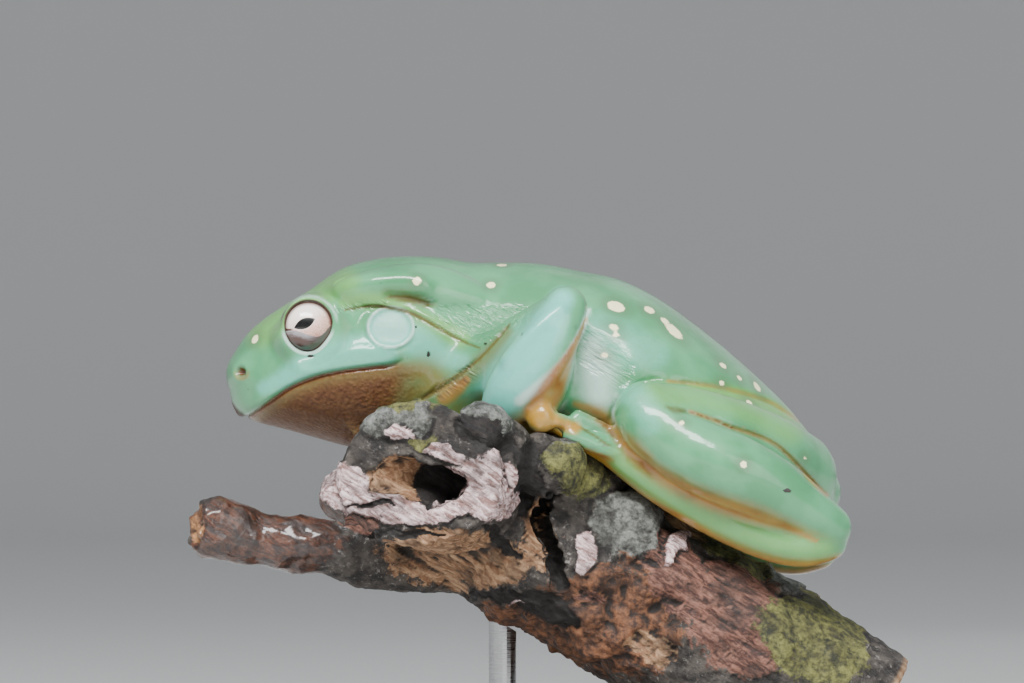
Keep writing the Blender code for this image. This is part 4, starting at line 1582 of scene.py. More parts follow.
    def _add_digit(self, bm: BMesh, row: Row, side: Side, drop: float) -> None:
        """Adds a finger or toe with a round, flattened disc at its end."""
        fall = Vector((0, 0, drop if side is Side.RIGHT else 0.0))
        root, tip = side_point(row[:3], side) - fall, side_point(row[3:], side) - fall
        ahead = (tip - root).normalized()
        axis = Vector((0, 1, 0))
        across = (axis - ahead * ahead.dot(axis)).normalized()
        above = ahead.cross(across)
        shaft = (tip - root).length - 2 * self.disc_radius
        rings = []
        for share, swell in self.knuckles:
            middle = root + ahead * shaft * share
            size = self.digit_radius * swell
            rings.append(ring_about(middle, across, above, size, size * 0.92, 16))
        for degrees in self.disc_turns:
            turn = math.radians(degrees)
            middle = tip + ahead * self.disc_radius * (math.sin(turn) - 1)
            wide, high = self.disc_radius * math.cos(turn), self.disc_half_thickness * math.cos(turn)
            rings.append(ring_about(middle, across, above, wide, high, 16))
        skin_rings(bm, rings)

    def depth_in(self, word: str, side: Side) -> Array:
        """How far each point lies outside one length of a leg, about.

        Args:
            word: The length's name.
            side: The leg's side.

        Returns:
            Millimetres, one number a point, negative inside.
        """
        rows = self.limb(word, side).sampled(24)
        best = np.full(len(self.clay.points), np.inf)
        for row in rows:
            distance = lengths(self.clay.points - row[:3]) - (row[3] + row[4]) / 2
            best = np.minimum(best, distance)
        return best

    def depth_in_body(self) -> Array:
        """How far each point lies outside the trunk, about, in millimetres."""
        course = Course(self.body)
        table = course.sampled(300)
        x = self.clay.points[:, 0] - self.snout_x
        back, wide, belly, share = (np.interp(x, table[:, 0], table[:, k]) for k in range(1, 5))
        z = self.clay.points[:, 2] - self.seat_z - wide
        reach = np.where(z > 0, back - wide, wide - belly)
        half = self.body_width / 2 * share
        scaled = np.hypot(self.clay.points[:, 1] / np.maximum(half, 0.5), z / np.maximum(reach, 0.5))
        return (scaled - 1.0) * np.minimum(half, reach)

    def _soften_joins(self) -> None:
        """Smooths the skin where shoulder and hip run into the trunk."""
        trunk = self.depth_in_body()
        weight = np.zeros(len(trunk))
        for side in Side:
            for word, reach in (("upper_arm", 2.4), ("thigh", 1.8)):
                limb = self.depth_in(word, side)
                near = ramp(np.abs(trunk), reach, 0.3) * ramp(np.abs(limb), reach, 0.3)
                if word == "thigh":
                    near = near * ramp(self.clay.points[:, 0], 18.0, 26.0)
                weight = np.maximum(weight, near)
            elbow = np.abs(self.depth_in("upper_arm", side)) + np.abs(self.depth_in("forearm", side))
            weight = np.maximum(weight, ramp(elbow, 4.0, 1.0))
            for ball in self.knee_balls:
                gap = lengths(self.clay.points - np.array(side_point(ball[:3], side)))
                outside = self.outward() > 0.1
                weight = np.maximum(weight, ramp(gap, 6.6, 5.0) * outside)
            fold = Course(self.arm_fold_form).on_side(side).sampled(16)
            gap = np.linalg.norm(self.clay.points[:, None] - fold[None, :, :3], axis=2) - fold[:, 3]
            near = ramp(np.min(gap, axis=1), 1.0, 0.2)
            weight = np.maximum(weight, near * ramp(self.clay.points[:, 2], 74.5, 77.5))
        self.clay.relax(18, weight, keep_size=False)

    def outward(self) -> Array:
        """How squarely each point faces its own side, from -1 to 1."""
        return self.clay.normals[:, 1] * np.sign(self.clay.points[:, 1])

    def _sculpt(self) -> None:
        """Works the lids, mouth, ears, nostrils and folds into the skin."""
        clay = self.clay
        seen = PHOTO.seen(clay.points)
        head = clay.points[:, 0] < -10.0
        shown = self.outward() > -0.1
        near = lengths(seen - np.array(self.eye_pixel)) < self.fine_eye
        near |= np.abs(blob_field(seen, self.ear_pixel)) < self.fine_ear
        near |= lengths(seen - np.array(self.nostril_pixel)) < self.fine_nostril
        near |= line_gap(seen, self.mouth) < self.fine_mouth
        near |= line_gap(seen, self.ear_fold) < self.fine_ear_fold
        for line in (self.arm_fold, self.chest_fold):
            near |= line_gap(seen, line) < self.fine_fold
        near &= head
        for line in (self.leg_crease, self.hip_crease, self.knee_edge):
            near |= line_gap(seen, line) < self.fine_leg
        near |= self.loose(seen) > self.fine_wrinkles
        clay.refine(near & shown)
        clay.relax(2)
        for side in Side:
            out, beyond, _, _ = self.on_eye(side)
            clay.refine((np.abs(beyond) < self.fine_lids) & (out > 0.0))
        clay.relax(1)
        self._shape_snout()
        facing = ramp(self.outward(), 0.0, 0.3)
        seen = PHOTO.seen(clay.points)
        clay.push(self._folds(seen) * facing)
        clay.push(self._wrinkles(self.loose(seen) * facing))
        clay.push(self._mouth(seen))
        clay.push(self._ear(seen) * facing)
        clay.push(self._nostril(seen))
        for side in Side:
            self._lids(side)
        clay.relax(1)

    def _shape_snout(self) -> None:
        """Rounds the snout's front forward and draws the lip's lower tip back."""
        points = self.clay.points
        front = ramp(points[:, 0], -50.0, -56.5)
        height = points[:, 2]
        forward = 0.0
        for amount, middle, reach in self.snout_waves:
            forward = forward + amount * hump(height - middle, reach)
        self.clay.points = points - np.outer(forward * front, (1.0, 0.0, 0.0))

    def _folds(self, seen: Array) -> Array:
        """The folds of skin behind the eye, over the ear and before the arm, and the legs' creases."""
        folds = (
            Fold(self.ear_fold, 0.55, 0.30, above=0.60, above_width=1.5),
            Fold(self.arm_fold, 0.55, 0.30, below=0.30, below_width=1.4),
            Fold(self.chest_fold, 0.40, 0.26, above=0.25, above_width=1.0),
            Fold(self.gland_groove, 1.2, 0.75, above=0.50, above_width=1.0),
            Fold(self.gland_ridge, -0.95, 1.3),
            Fold(self.cheek_ridge, -0.75, 1.2),
            Fold(self.drum_ridge, -0.45, 0.7),
            Fold(self.forearm_ridge, -0.70, 0.9),
            Fold(self.leg_crease, 0.75, 0.35, fade=0.12),
            Fold(self.hip_crease, 0.50, 0.38),
            Fold(self.knee_edge, 0.70, 0.38, below=0.25),
        )
        return sum(fold.height(seen) for fold in folds)

    def loose(self, seen: Array) -> Array:
        """Where the skin is loose and wrinkled, from 0 to 1."""
        wet = [stroke for stroke in SkinPaint.strokes if stroke.mask is Mask.WET]
        return np.max([stroke.share(seen) for stroke in wet], axis=0)

    def _wrinkles(self, share: Array) -> Array:
        """Fine wrinkles that run down and back.

        Args:
            share: How loose the skin is at each point.

        Returns:
            How far each point moves outward, in millimetres.
        """
        made = np.zeros(len(share))
        turn = Matrix.Rotation(math.radians(self.wrinkle_tilt), 3, "Y")
        for index in np.nonzero(share > 0.02)[0]:
            laid = turn @ Vector(self.clay.points[index])
            place = Vector([value / size for value, size in zip(laid, self.wrinkle_size)])
            ridge = noise.ridged_multi_fractal(place, 0.9, 2.0, 2, 0.9, 2.0)
            made[index] = (min(ridge / 1.4, 1.6) - 0.8) * self.wrinkle_depth * share[index]
        return made

    def _mouth(self, seen: Array) -> Array:
        """The line of the mouth under a full upper lip."""
        distance, along = line_field(seen, self.mouth)
        distance = distance * PHOTO.step
        head = ramp(self.clay.points[:, 0], -16.0, -24.0)
        rear = ramp(along, 1.0, 0.86)
        lip = 0.55 * hump(distance - 1.0, 0.9)
        jaw = np.where(distance < 0, -0.30 * np.exp(distance / 1.8), 0.0)
        slit = -0.85 * hump(distance, 0.24)
        return head * rear * (lip + jaw + slit)

    def _ear(self, seen: Array) -> Array:
        """The round ear drum in its raised ring."""
        mean = (self.ear_pixel[2] + self.ear_pixel[3]) / 2 * PHOTO.step
        distance = -blob_field(seen, self.ear_pixel) * mean
        height, width = self.ear_ring
        under_fold = ramp(line_field(seen, self.ear_fold)[0], 2.0, -3.0)
        ring = height * hump(distance, width)
        drum = -0.28 * ramp(distance, -0.2, -0.7) * (1 - 0.7 * ramp(distance, -0.7, -3.4))
        moat = -0.18 * hump(distance - 0.75, 0.35)
        return (ring + drum + moat) * under_fold

    def _nostril(self, seen: Array) -> Array:
        """A small open nostril on its mound."""
        distance = lengths(seen - np.array(self.nostril_pixel)) * PHOTO.step
        front = self.clay.points[:, 0] < -48.0
        mound = 0.60 * hump(distance, 1.6)
        hole = -1.7 * np.exp(-((distance / 0.74) ** 4))
        return np.where(front, mound + hole, 0.0)

    def eye_axes(self, side: Side) -> tuple[Vector, Vector, Vector, Vector]:
        """The eye's middle, where it looks, the direction backward along the head, and up."""
        look = side_point(self.eye_look, side).normalized()
        back = (Vector((1, 0, 0)) - look * look.x).normalized()
        up = (Vector((0, 0, 1)) - look * look.z - back * back.z).normalized()
        return side_point(self.eye, side), look, back, up

    def on_eye(self, side: Side) -> tuple[Array, Array, Array, Array]:
        """Where the skin's points lie about an eye, looking straight at it.

        Args:
            side: The eye's side.

        Returns:
            How far each point stands out from the eye's middle, how far it lies outside the lids'
            edge, how high it lies, from -1 under the eye to 1 over it, and how far the eyeball
            stands out there.
        """
        middle, look, back, up = (np.array(item) for item in self.eye_axes(side))
        rest = self.clay.points - middle
        across, above = rest @ back, rest @ up
        reach = np.maximum(np.hypot(across, above), 1e-6)
        height = above / reach
        side_way, top, bottom = self.eye_opening
        opening = 1.0 / np.hypot(across / reach / side_way, height / np.where(above > 0, top, bottom))
        opening = opening * (1 - 0.10 * hump(np.arctan2(above, across) + 0.75, 0.55))
        ball = np.sqrt(np.maximum(self.eye_radius**2 - np.minimum(reach, opening) ** 2, 0.0))
        return rest @ look, reach - opening, height, ball

    def _lids(self, side: Side) -> None:
        """Opens the skin over the eyeball between two rounded lids, which flow into the head."""
        out, beyond, height, ball = self.on_eye(side)
        over = ramp(height, -0.4, 0.5)
        tall, low = self.lid_heights
        rise = low + (tall - low) * over
        lip = np.sqrt(1 - (1 - np.clip(beyond / (0.42 + 0.30 * over), 0.0, 1.0)) ** 2)
        groove = 0.42 * over * hump(beyond - 1.45, 0.45)
        tucked = -0.55 + 0.60 * ramp(beyond, -0.24, -0.02)
        target = ball + np.where(beyond < 0, tucked, 0.05 + rise * lip - groove)
        narrow, wide = self.lid_widths
        width = wide + (narrow - wide) * ramp(height, 0.2, 0.9)
        share = 1 - ramp(beyond / width, 0.22, 1.0)
        share = share * ramp(out, -4.0, -1.0)
        look = np.array(self.eye_axes(side)[1])
        self.clay.points = self.clay.points + np.outer((target - out) * share, look)

    def _clear_of(self, perch: Clay) -> None:
        """Moves what would sink into the branch out to its surface."""
        tree = perch.tree()
        low = np.nonzero(self.clay.points[:, 2] < 80.0)[0]
        for index in low:
            point = Vector(self.clay.points[index])
            place, normal, _, distance = tree.find_nearest(point, 12.0)
            if place is not None and (point - place).dot(normal) < 0.05:
                self.clay.points[index] = place + normal * 0.05


@dataclass
class SkinPaint:
    """The frog's markings, laid on as brush strokes, ovals, spots and undersides."""

    frog: Frog
    seed: int = 11
    strokes: tuple[Stroke, ...] = (
        Stroke(
            Mask.TURQUOISE,
            ((264, 388, 7), (280, 381, 11), (310, 364, 14), (350, 352, 17), (385, 350, 14)),
            0.55,
        ),
        Stroke(
            Mask.TURQUOISE,
            ((562, 300, 11), (545, 330, 19), (525, 362, 24), (505, 392, 27), (490, 410, 24)),
            0.9,
        ),
        Stroke(Mask.TURQUOISE, ((415, 340, 16), (440, 356, 12), (462, 362, 8)), 0.5),
        Stroke(Mask.TURQUOISE, ((628, 395, 10), (640, 400, 14), (650, 425, 10)), 0.35),
        Stroke(Mask.TURQUOISE, ((600, 330, 18), (625, 345, 22), (655, 355, 14)), 0.35),
        Stroke(Mask.YELLOWISH, ((262, 330, 16), (300, 300, 16), (345, 282, 14)), 0.6),
        Stroke(Mask.YELLOWISH, ((345, 300, 8), (380, 302, 9), (420, 318, 9), (460, 338, 9)), 0.6),
        Stroke(Mask.YELLOWISH, ((655, 392, 12), (700, 396, 14), (745, 406, 14), (790, 430, 14)), 0.45),
        Stroke(Mask.YELLOWISH, ((620, 462, 14), (680, 504, 14), (740, 530, 16), (820, 552, 16)), 0.55),
        Stroke(
            Mask.OLIVE,
            (
                (345, 310, 1), (373, 306, 1.9), (395, 309, 2.2), (417, 316, 2.3), (460, 340, 1.9),
                (480, 348, 1),
            ),
            0.95,
        ),
        # Dark olive in the groove under the gland's ridge is painted shade.
        Stroke(Mask.OLIVE, ((388, 296.5, 1), (402, 297.5, 3.4), (418, 300.5, 3.8), (430, 304, 2)), 0.9),
        Stroke(
            Mask.OLIVE,
            (
                (510, 324, 1), (497, 340, 1.4), (480, 358, 1.6), (452, 382, 1.8), (434, 393, 2),
                (420, 401, 2),
            ),
            0.85,
        ),
        Stroke(Mask.OLIVE, ((471, 367, 0.8), (455, 376, 1.2), (440, 385, 1.4), (421, 400, 1.4)), 0.9),
        # Olive-brown over the gland's groove, laid with the neck's colour, is painted shade.
        Stroke(Mask.NECK, ((384, 298, 1), (398, 298, 3.4), (416, 301, 3.8), (434, 306, 2.2)), 0.5),
        Stroke(Mask.NECK, ((405, 372, 10), (424, 374, 16), (436, 384, 12), (408, 396, 14)), 0.85, 0.9),
        Stroke(Mask.NECK, ((508, 332, 5), (488, 356, 8), (464, 378, 9), (440, 396, 8)), 0.6, 0.9),
        # Dark olive in the knee's hollow, where the leg's crease starts, is painted shade.
        Stroke(Mask.OLIVE, ((667, 407, 1.5), (675, 410, 3.5), (685, 411, 2)), 0.7, 0.9),
        Stroke(Mask.YELLOWISH, ((690, 386, 4), (728, 391, 6), (765, 402, 6), (790, 416, 5)), 0.7),
        # The pale patch on the flank by the arm is partly the flank's paler skin and partly a painted
        # highlight.
        Stroke(Mask.PALE, ((592, 348, 10), (595, 372, 18), (599, 394, 14)), 0.9, 0.9),
        Stroke(
            Mask.PALE,
            ((588, 310, 2), (581, 332, 3), (570, 352, 3.4), (558, 368, 4), (541, 384, 5), (520, 401, 5)),
            1.0,
        ),
        Stroke(Mask.PALE, ((616, 394, 1.2), (613, 412, 1.6), (615, 428, 1.2)), 0.6),
        Stroke(
            Mask.ORANGE,
            (
                (586, 318, 1), (578, 338, 2.4), (568, 358, 5), (558, 377, 10), (547, 398, 13),
                (536, 413, 13),
            ),
            0.9, 0.35,
        ),
        Stroke(Mask.ORANGE, ((576, 404, 3), (590, 409, 5), (602, 416, 7), (611, 428, 5)), 0.8, 0.95),
        Stroke(Mask.LIP_LINE, ((598, 420, 2), (608, 428, 3), (613, 436, 2)), 0.6),
        Stroke(Mask.ORANGE, ((619, 432, 5), (631, 446, 8), (648, 460, 6)), 0.7, 0.9),
        Stroke(Mask.ORANGE, ((446, 398, 8), (456, 390, 7), (466, 380, 4)), 0.75),
        Stroke(
            Mask.ORANGE,
            (
                (615, 431, 5), (636, 457, 7), (665, 478, 8), (695, 494, 8), (725, 507, 7), (757, 518, 6),
                (787, 527, 4), (817, 541, 2),
            ),
            0.9, 0.95,
        ),
        Stroke(
            Mask.ORANGE,
            ((586, 454, 3), (639, 495, 4), (683, 519, 4), (728, 545, 4), (758, 558, 3)),
            0.85,
        ),
        # A faint olive-brown along the gland's groove, laid with the neck's colour, is painted shade.
        Stroke(Mask.NECK, ((384, 292, 3), (404, 294, 5), (424, 300, 4)), 0.35, 0.9),
        Stroke(Mask.TOE, ((541, 417, 15), (556, 423, 8), (575, 428, 6)), 0.98),
        Stroke(Mask.OLIVE, ((568, 421, 1), (590, 433, 1.4), (611, 447, 1.4)), 0.85),
        Stroke(Mask.WET, ((446, 318, 12), (480, 322, 18), (520, 316, 10)), 1.0, 0.5),
        Stroke(Mask.WET, ((582, 330, 8), (598, 352, 18), (620, 372, 14)), 1.0, 0.5),
        Stroke(Mask.WET, ((336, 311, 3), (352, 307, 5), (384, 303, 4)), 0.9, 0.5),
        Stroke(Mask.WET, ((440, 392, 8), (470, 372, 8)), 0.7, 0.5),
    )
    spots: Table = (
        (255, 339, 4, 5, 0), (417, 281, 4.5, 4.5, 0), (491, 285, 4.5, 4.2, 0), (502, 265, 5, 5, 0),
        (521, 261, 4.5, 4.5, 0), (616, 306.5, 9, 5.6, 20), (649.5, 310, 5.6, 4.4, 20),
        (665, 321, 5, 3, 45), (674, 331, 10.5, 4.4, 45), (613.7, 327.2, 4.8, 3.2, 25),
        (616, 334.6, 3.8, 2.8, 20), (604.5, 355.3, 3.6, 2.6, 10), (723, 365.5, 4, 2.8, 40),
        (722, 383, 3, 2.6, 0), (739.5, 378, 3.2, 2.4, 45), (757, 386.5, 3, 6, -20),
        (749.5, 403, 3.8, 2.6, 35), (743.5, 464.5, 3.6, 3.4, 0), (681.5, 422.5, 3, 2.6, 0),
        (805, 457.5, 2.2, 2, 0), (795, 411, 2.6, 2.2, 0), (799, 418, 1.8, 2.4, 0),
    )
    flecks: Table = (
        (311, 356, 4.6, 1.7, 0), (428.5, 354, 2.8, 3.4, 0), (388.5, 384.8, 2.6, 1.5, 10),
        (485, 343.5, 3, 1.6, 0), (545, 300.3, 3.2, 1.3, 15), (787, 490.5, 5, 2.6, 12),
        (510, 374.5, 1.2, 1.4, 0), (513, 383, 1, 1, 0), (522, 334, 1.6, 2.6, 20), (416, 327, 1.4, 1.4, 0),
        (406.8, 358.4, 1.2, 1.2, 0), (381, 282, 1.6, 1.6, 0), (248, 389.5, 1.6, 1.1, 0),
        (278, 380.5, 1.4, 1.1, 0), (264, 348.5, 1.5, 1.2, 0),
    )
    jaw_end: Table = ((420, 363), (455, 376))
    throat_rear: Row = (438, 384)
    throat_slant: Row = (0.35, 380)
    nostril_shade: Row = (366, 378)
    # The dark at the lip's lower tip, laid with the eye rim's colour, is painted shade under the snout.
    lip_tip_shade: Stroke = Stroke(Mask.EYE_RIM, ((231, 403, 2), (237, 413, 3.6), (249, 420, 2.6)))
    extra_spots: int = 26
    spot_gap: float = 5.0

    @staticmethod
    def _lay(made: dict[Mask, Array], mask: Mask, share: Array) -> None:
        """Lays a share over a mask, which keeps its own number where that is larger."""
        made[mask] = np.maximum(made[mask], share)

    def masks(self) -> dict[str, Array]:
        """Lays every marking on the skin.

        Returns:
            The masks' numbers by name, one a point.
        """
        clay = self.frog.clay
        seen = PHOTO.seen(clay.points)
        normals = clay.normals
        facing = ramp(self.frog.outward(), -0.15, 0.15)
        made = {mask: np.zeros(len(seen)) for mask in Mask}
        for stroke in self.strokes:
            self._lay(made, stroke.mask, stroke.share(seen) * facing)
        for line, mask, strength, reach in (
            (self.frog.leg_crease[1:], Mask.ORANGE, 0.65, 3.6),
            (self.frog.hip_crease, Mask.ORANGE, 0.50, 3.4),
            (self.frog.leg_crease[1:4], Mask.LIP_LINE, 0.85, 1.2),
        ):
            covered = ramp(line_gap(seen, line), reach, reach * 0.2)
            self._lay(made, mask, strength * covered * facing)
        self._undersides(made, normals)
        self._head(made, seen, facing)
        self._digits(made, normals)
        made[Mask.SPOT] = np.maximum(self._ovals(self.spots), self._more_spots(normals))
        made[Mask.FLECK] = self._ovals(self.flecks)
        return {mask.value: values for mask, values in made.items()}

    def _undersides(self, made: dict[Mask, Array], normals: Array) -> None:
        """Pale belly, and orange under the legs."""
        points = self.frog.clay.points
        down = ramp(normals[:, 2], -0.45, -0.9)
        trunk = self.frog.depth_in_body()
        limb = np.full(len(points), np.inf)
        for side in Side:
            for word in self.frog.limbs:
                limb = np.minimum(limb, self.frog.depth_in(word, side))
        on_limb = ramp(trunk - limb, -0.5, 1.5)
        self._lay(made, Mask.ORANGE, 0.85 * down * on_limb)
        self._lay(made, Mask.PALE, 0.95 * down * (1 - on_limb))

    def _head(self, made: dict[Mask, Array], seen: Array, facing: Array) -> None:
        """Brown throat, the lips' dark line, the nostril, the ear's pale ring and the pale lower lid, with
        a painted highlight along the upper lid and painted shade at the lip's lower tip.
        """
        frog = self.frog
        points = frog.clay.points
        distance, along = line_field(seen, frog.mouth)
        lean, level = self.throat_slant
        ahead = ramp(seen[:, 0] + lean * (seen[:, 1] - level), *self.throat_rear)
        ahead = ahead * (points[:, 0] < -20.0)
        below = line_field(seen, (*frog.mouth[:-1], *self.jaw_end))[0]
        lighter = 1 - 0.45 * ramp(below, -18.0, -3.0)
        made[Mask.THROAT] = ramp(below, 1.0, -4.0) * ahead * lighter
        self._lay(made, Mask.NECK, ramp(below, 1.0, -5.0) * ahead)
        made[Mask.PALE] = made[Mask.PALE] * (1 - ramp(points[:, 0], -22.0, -30.0))
        line = ramp(np.abs(distance + 1.2), 3.4, 1.2) * ramp(along, 1.0, 0.84)
        self._lay(made, Mask.LIP_LINE, np.where(points[:, 0] < -22.0, line, 0.0))
        nostril = lengths(seen - np.array(frog.nostril_pixel))
        front = points[:, 0] < -48.0
        # Dark in the nostril's hole, in the lip line's colour, is partly its reddish lining and partly
        # painted shade.
        self._lay(made, Mask.LIP_LINE, ramp(nostril, 4.8, 3.4) * front)
        around = ramp(np.abs(nostril - 6.4), 3.0, 0.5) * front
        around = around * ramp(seen[:, 1], *self.nostril_shade)
        self._lay(made, Mask.ORANGE, around * 0.55)
        ear = blob_field(seen, frog.ear_pixel)
        self._lay(made, Mask.TURQUOISE, ramp(ear, -0.15, 0.1) * facing * 0.7)
        # Painted shade at the lip's lower tip, in the eye rim's dark brown, kept matt.
        tip = self.lip_tip_shade.share(seen) * front
        self._lay(made, Mask.EYE_RIM, tip)
        drum = ramp(ear, 0.04, 0.16) * facing * 0.85
        made[Mask.MATT] = np.max([tip, made[Mask.THROAT], drum], axis=0)
        ring = hump(ear * 21.0, 1.5) + 0.50 * ramp(ear, 0.08, 0.3)
        self._lay(made, Mask.PALE, np.clip(ring, 0, 1) * facing * 0.85)
        for side in Side:
            out, beyond, height, _ = frog.on_eye(side)
            shown = out > -0.5
            lid = ramp(np.abs(beyond - 0.30), 0.50, 0.22) * shown
            self._lay(made, Mask.PALE, lid * 0.95 * ramp(height, 0.0, -0.5))
            # A pale arc along the upper lid's ridge is a painted highlight.
            painted_highlight_arc = ramp(np.abs(beyond - 0.95), 0.32, 0.10) * shown * ramp(height, 0.0, 0.5)
            self._lay(made, Mask.PALE, painted_highlight_arc * 0.60)
            edge = 0.14 + 0.24 * ramp(height, -0.2, 0.5)
            dark = ramp(beyond, edge + 0.08, edge - 0.08) * shown * ramp(beyond, -1.5, -1.0)
            self._lay(made, Mask.EYE_RIM, dark)

    def _digits(self, made: dict[Mask, Array], normals: Array) -> None:
        """Yellow-orange fingers and toes, greener on top."""
        frog = self.frog
        points = frog.clay.points
        nearest = np.full(len(points), np.inf)
        for side in Side:
            for row in (*frog.fingers, *frog.toes):
                root, tip = (np.array(side_point(part, side)) for part in (row[:3], row[3:]))
                share = np.clip((points - root) @ (tip - root) / ((tip - root) @ (tip - root)), 0.25, 1.0)
                gap = lengths(points - root - share[:, None] * (tip - root))
                nearest = np.minimum(nearest, gap)
        near = ramp(nearest, 3.0, 2.0)
        top = ramp(normals[:, 2], 0.2, 0.9)
        self._lay(made, Mask.TOE, near * (1 - 0.6 * top))

    def _ovals(self, table: Table) -> Array:
        """Ovals set where the photograph shows them, as millimetres inside their edge.

        Args:
            table: Each oval's pixel, its two radii in pixels and its tilt in degrees.

        Returns:
            One number a point, negative outside.
        """
        clay = self.frog.clay
        tree = clay.tree()
        camera = Vector((PHOTO.middle_x, -PHOTO.distance, PHOTO.middle_z))
        best = np.full(len(clay.points), -9.0)
        for across, down, wide, high, tilt in table:
            aim = PHOTO.place((across, down), 0.0)
            place = tree.ray_cast(camera, (aim - camera).normalized())[0]
            if place is None:
                continue
            rest = clay.points - np.array(place)
            turn = math.radians(tilt)
            u = rest[:, 0] * math.cos(turn) - rest[:, 2] * math.sin(turn)
            v = rest[:, 0] * math.sin(turn) + rest[:, 2] * math.cos(turn)
            small, large = min(wide, high) * PHOTO.step, max(wide, high) * PHOTO.step
            scaled = np.sqrt((u / wide) ** 2 + (v / high) ** 2) / PHOTO.step
            scaled = np.hypot(scaled, rest[:, 1] / (large * 1.6))
            best = np.maximum(best, (1 - scaled) * small)
        return best

    def _more_spots(self, normals: Array) -> Array:
        """Spots on the side and back that the photograph doesn't show, drawn by lot."""
        points = self.frog.clay.points
        rng = np.random.default_rng(self.seed)
        open_skin = (normals[:, 2] > 0.0) & (points[:, 1] > 1.5) & (np.abs(points[:, 0] + 2) < 38.0)
        open_skin &= self.frog.depth_in_body() < 1.0
        choices = rng.permutation(np.nonzero(open_skin)[0])
        kept: list[Array] = []
        best = np.full(len(points), -9.0)
        for index in choices:
            place = points[index]
            if all(np.linalg.norm(place - other) > self.spot_gap for other in kept):
                kept.append(place)
                radius = rng.uniform(0.35, 0.85)
                best = np.maximum(best, radius - lengths(points - place))
            if len(kept) == self.extra_spots:
                break
        return best


@dataclass
class Eye:
    """One eyeball with its painted iris, and the third lid over its lower part."""

    frog: Frog
    side: Side
    rings: int = 48
    sides: int = 64
    lid_edge: Table = (
        (-4.6, -0.9), (-3.8, -0.8), (-1.8, -0.75), (0, -1.4), (1.75, -1.6), (3.4, -0.05), (4.6, 1.2),
    )
    lid_gap: float = 0.07
    lid_half_width: float = 4.2
    lid_columns: int = 80

    def build(self, finish: Finish, lid_finish: Finish) -> None:
        """Models the eye.

        Args:
            finish: The eyeball's finish.
            lid_finish: The third lid's finish.
        """
        ball = self._ball(finish)
        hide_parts(f"eye_{self.side.word}")
        self._lid(lid_finish)

    def _lid(self, finish: Finish) -> None:
        """The third lid: the part of a slightly larger ball that lies under its edge."""
        middle, look, back, up = self.frog.eye_axes(self.side)
        bm = bmesh.new()
        radius = self.frog.eye_radius + self.lid_gap
        edge = smooth_line(self.lid_edge, 60)
        bmesh.ops.create_grid(bm, x_segments=self.lid_columns, y_segments=self.lid_columns // 2, size=1.0)
        for vert in bm.verts:
            x = vert.co.x * self.lid_half_width
            top = np.interp(x, edge[:, 0], edge[:, 1])
            low = -math.sqrt(self.frog.eye_radius**2 - x * x)
            y = low + (top - low) * (vert.co.y + 1) / 2
            vert.co = Vector((x, y, math.sqrt(radius**2 - x * x - y * y)))
        bmesh.ops.recalc_face_normals(bm, faces=bm.faces)
        bmesh.ops.solidify(bm, geom=bm.faces, thickness=self.lid_gap)
        layer = bm.loops.layers.uv.new("iris")
        for face in bm.faces:
            for loop in face.loops:
                loop[layer].uv = loop.vert.co.xy
        turn = Matrix((back, up, look)).transposed()
        bmesh.ops.rotate(bm, matrix=turn, verts=bm.verts)
        bmesh.ops.translate(bm, vec=middle, verts=bm.verts)
        add_shape(f"third_lid_{self.side.word}", bm, finish)

    def _ball(self, finish: Finish) -> Piece:
        """The eyeball, its UV map giving millimetres on the iris."""
        middle, look, back, up = self.frog.eye_axes(self.side)
        bm = bmesh.new()
        radius = self.frog.eye_radius
        bmesh.ops.create_uvsphere(bm, u_segments=self.sides, v_segments=self.rings, radius=radius)
        turn = Matrix((back, up, look)).transposed()
        if self.side is Side.RIGHT:
            turn = Matrix((-back, up, look)).transposed()
        layer = bm.loops.layers.uv.new("iris")
        for face in bm.faces:
            for loop in face.loops:
                across = loop.vert.co.x if self.side is Side.LEFT else -loop.vert.co.x
                loop[layer].uv = (across, loop.vert.co.y)
        bmesh.ops.rotate(bm, matrix=turn, verts=bm.verts)
        bmesh.ops.translate(bm, vec=middle, verts=bm.verts)
        return add_shape(f"eyeball_{self.side.word}", bm, finish)


@dataclass
class Stand:
    """The display stand's plate and rods, which keep the shapes of the solids."""

    base: str = "stand_base"
    rods: tuple[str, str] = ("stand_rod_front", "stand_rod_rear")

    def dress(self, nodes: dict[str, Piece], plate: Finish, rod: Finish) -> None:
        """Finishes the stand's solids.

        Args:
            nodes: The frame's solids.
            plate: The plate's finish.
            rod: The rods' finish.
        """
        for word in (self.base, *self.rods):
            finish = plate if word == self.base else rod
            node = nodes[word]
            for place in node.material_slots:
                place.material = finish.material()
            LOG.info("%s: %s", word, finish.name)


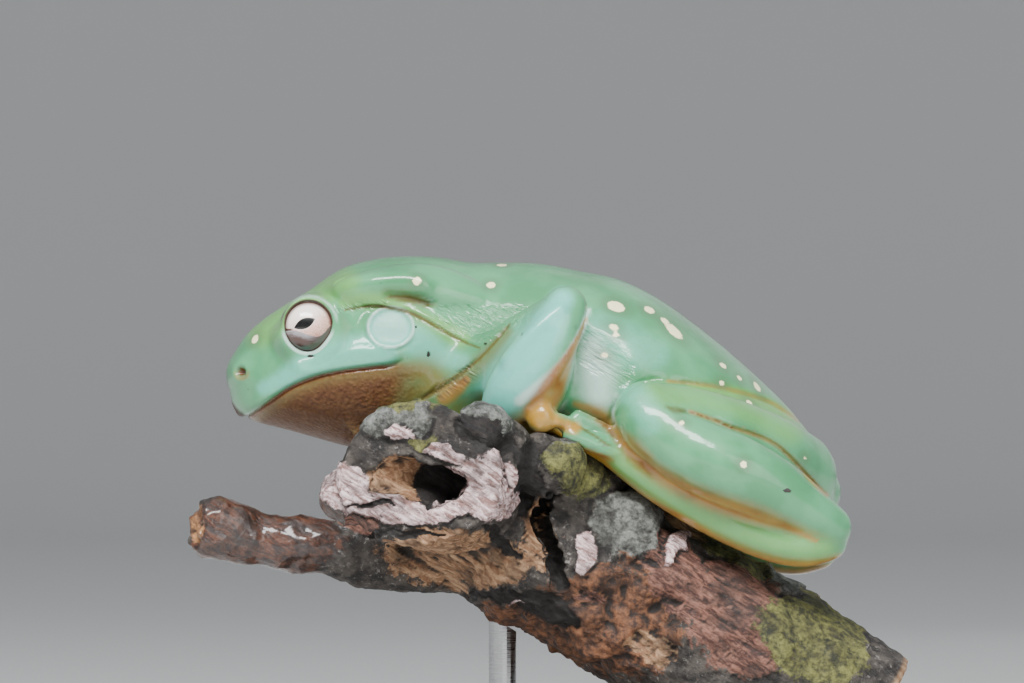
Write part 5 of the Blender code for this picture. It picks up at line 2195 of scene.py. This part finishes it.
@dataclass
class Studio:
    """A pale floor that rises all round, and soft lights."""

    floor_radius: float = 2600.0
    rise_radius: float = 900.0
    wall_top: float = 3600.0
    steps_up: int = 12
    steps_round: int = 96
    lights: tuple[tuple[str, Row, Row, Row, float], ...] = (
        ("key", (-160.0, -700.0, 860.0), (-5.0, 0.0, 75.0), (900.0, 300.0), 27.0),
        ("fill", (700.0, -900.0, 380.0), (0.0, 0.0, 60.0), (700.0, 700.0), 5.0),
        ("rear", (500.0, 900.0, 500.0), (0.0, 0.0, 70.0), (900.0, 900.0), 0.8),
    )
    sky: Row = (0.84, 0.88, 0.95)
    sky_strength: float = 0.55

    def build(self, finish: Finish) -> None:
        """Adds the floor, the lights and the sky.

        Args:
            finish: The floor's finish.
        """
        self._floor(finish)
        for name, place, aim, size, power in self.lights:
            lamp = bpy.data.lights.new(name, "AREA")
            lamp.shape = "RECTANGLE"
            lamp.size = size[0] * MM
            lamp.size_y = size[1] * MM
            lamp.energy = power
            holder = add_object(name, lamp)
            holder.location = Vector(place) * MM
            holder.rotation_euler = (Vector(aim) - Vector(place)).to_track_quat("-Z", "Y").to_euler()
        world = bpy.data.worlds.new("sky")
        world.use_nodes = True
        background = world.node_tree.nodes["Background"]
        background.inputs["Color"].default_value = (*self.sky, 1.0)
        background.inputs["Strength"].default_value = self.sky_strength
        bpy.context.scene.world = world

    def _floor(self, finish: Finish) -> None:
        """Spins the floor's section, flat and then rising in a quarter circle to a wall."""
        bm = bmesh.new()
        outline = [Vector((0, 0, 0)), Vector((self.floor_radius, 0, 0))]
        for k in range(1, self.steps_up + 1):
            turn = math.radians(90 * k / self.steps_up)
            x = self.floor_radius + self.rise_radius * math.sin(turn)
            outline.append(Vector((x, 0, self.rise_radius * (1 - math.cos(turn)))))
        outline.append(Vector((self.floor_radius + self.rise_radius, 0, self.wall_top)))
        verts = [bm.verts.new(point * MM) for point in outline]
        edges = [bm.edges.new(pair) for pair in zip(verts, verts[1:])]
        bmesh.ops.spin(
            bm,
            geom=[*verts, *edges],
            cent=(0, 0, 0),
            axis=(0, 0, 1),
            angle=2 * math.pi,
            steps=self.steps_round,
            use_merge=True,
        )
        bmesh.ops.remove_doubles(bm, verts=bm.verts, dist=WELD * MM)
        bmesh.ops.recalc_face_normals(bm, faces=bm.faces)
        mesh = bpy.data.meshes.new("floor")
        bm.to_mesh(mesh)
        bm.free()
        mesh.shade_smooth()
        mesh.materials.append(finish.material())
        floor = add_object("floor", mesh)


def main() -> None:
    """Loads the solids, and builds every piece over them."""
    logging.basicConfig(level=logging.INFO, format="%(message)s")
    # Without a seed, Blender's noise vectors start from the clock and differ in each run.
    noise.seed_set(NOISE_SEED)
    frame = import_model()
    PHOTO.add_camera()
    Studio().build(FloorFinish())
    perch = Perch()
    perch.build(BarkFinish())
    frog = Frog()
    frog.build(SkinFinish(), perch.clay)
    for side in Side:
        Eye(frog, side).build(EyeFinish(), LidFinish())
    Stand().dress(frame["nodes"], StainedWood(), BrushedSteel())


if __name__ == "__main__":
    main()
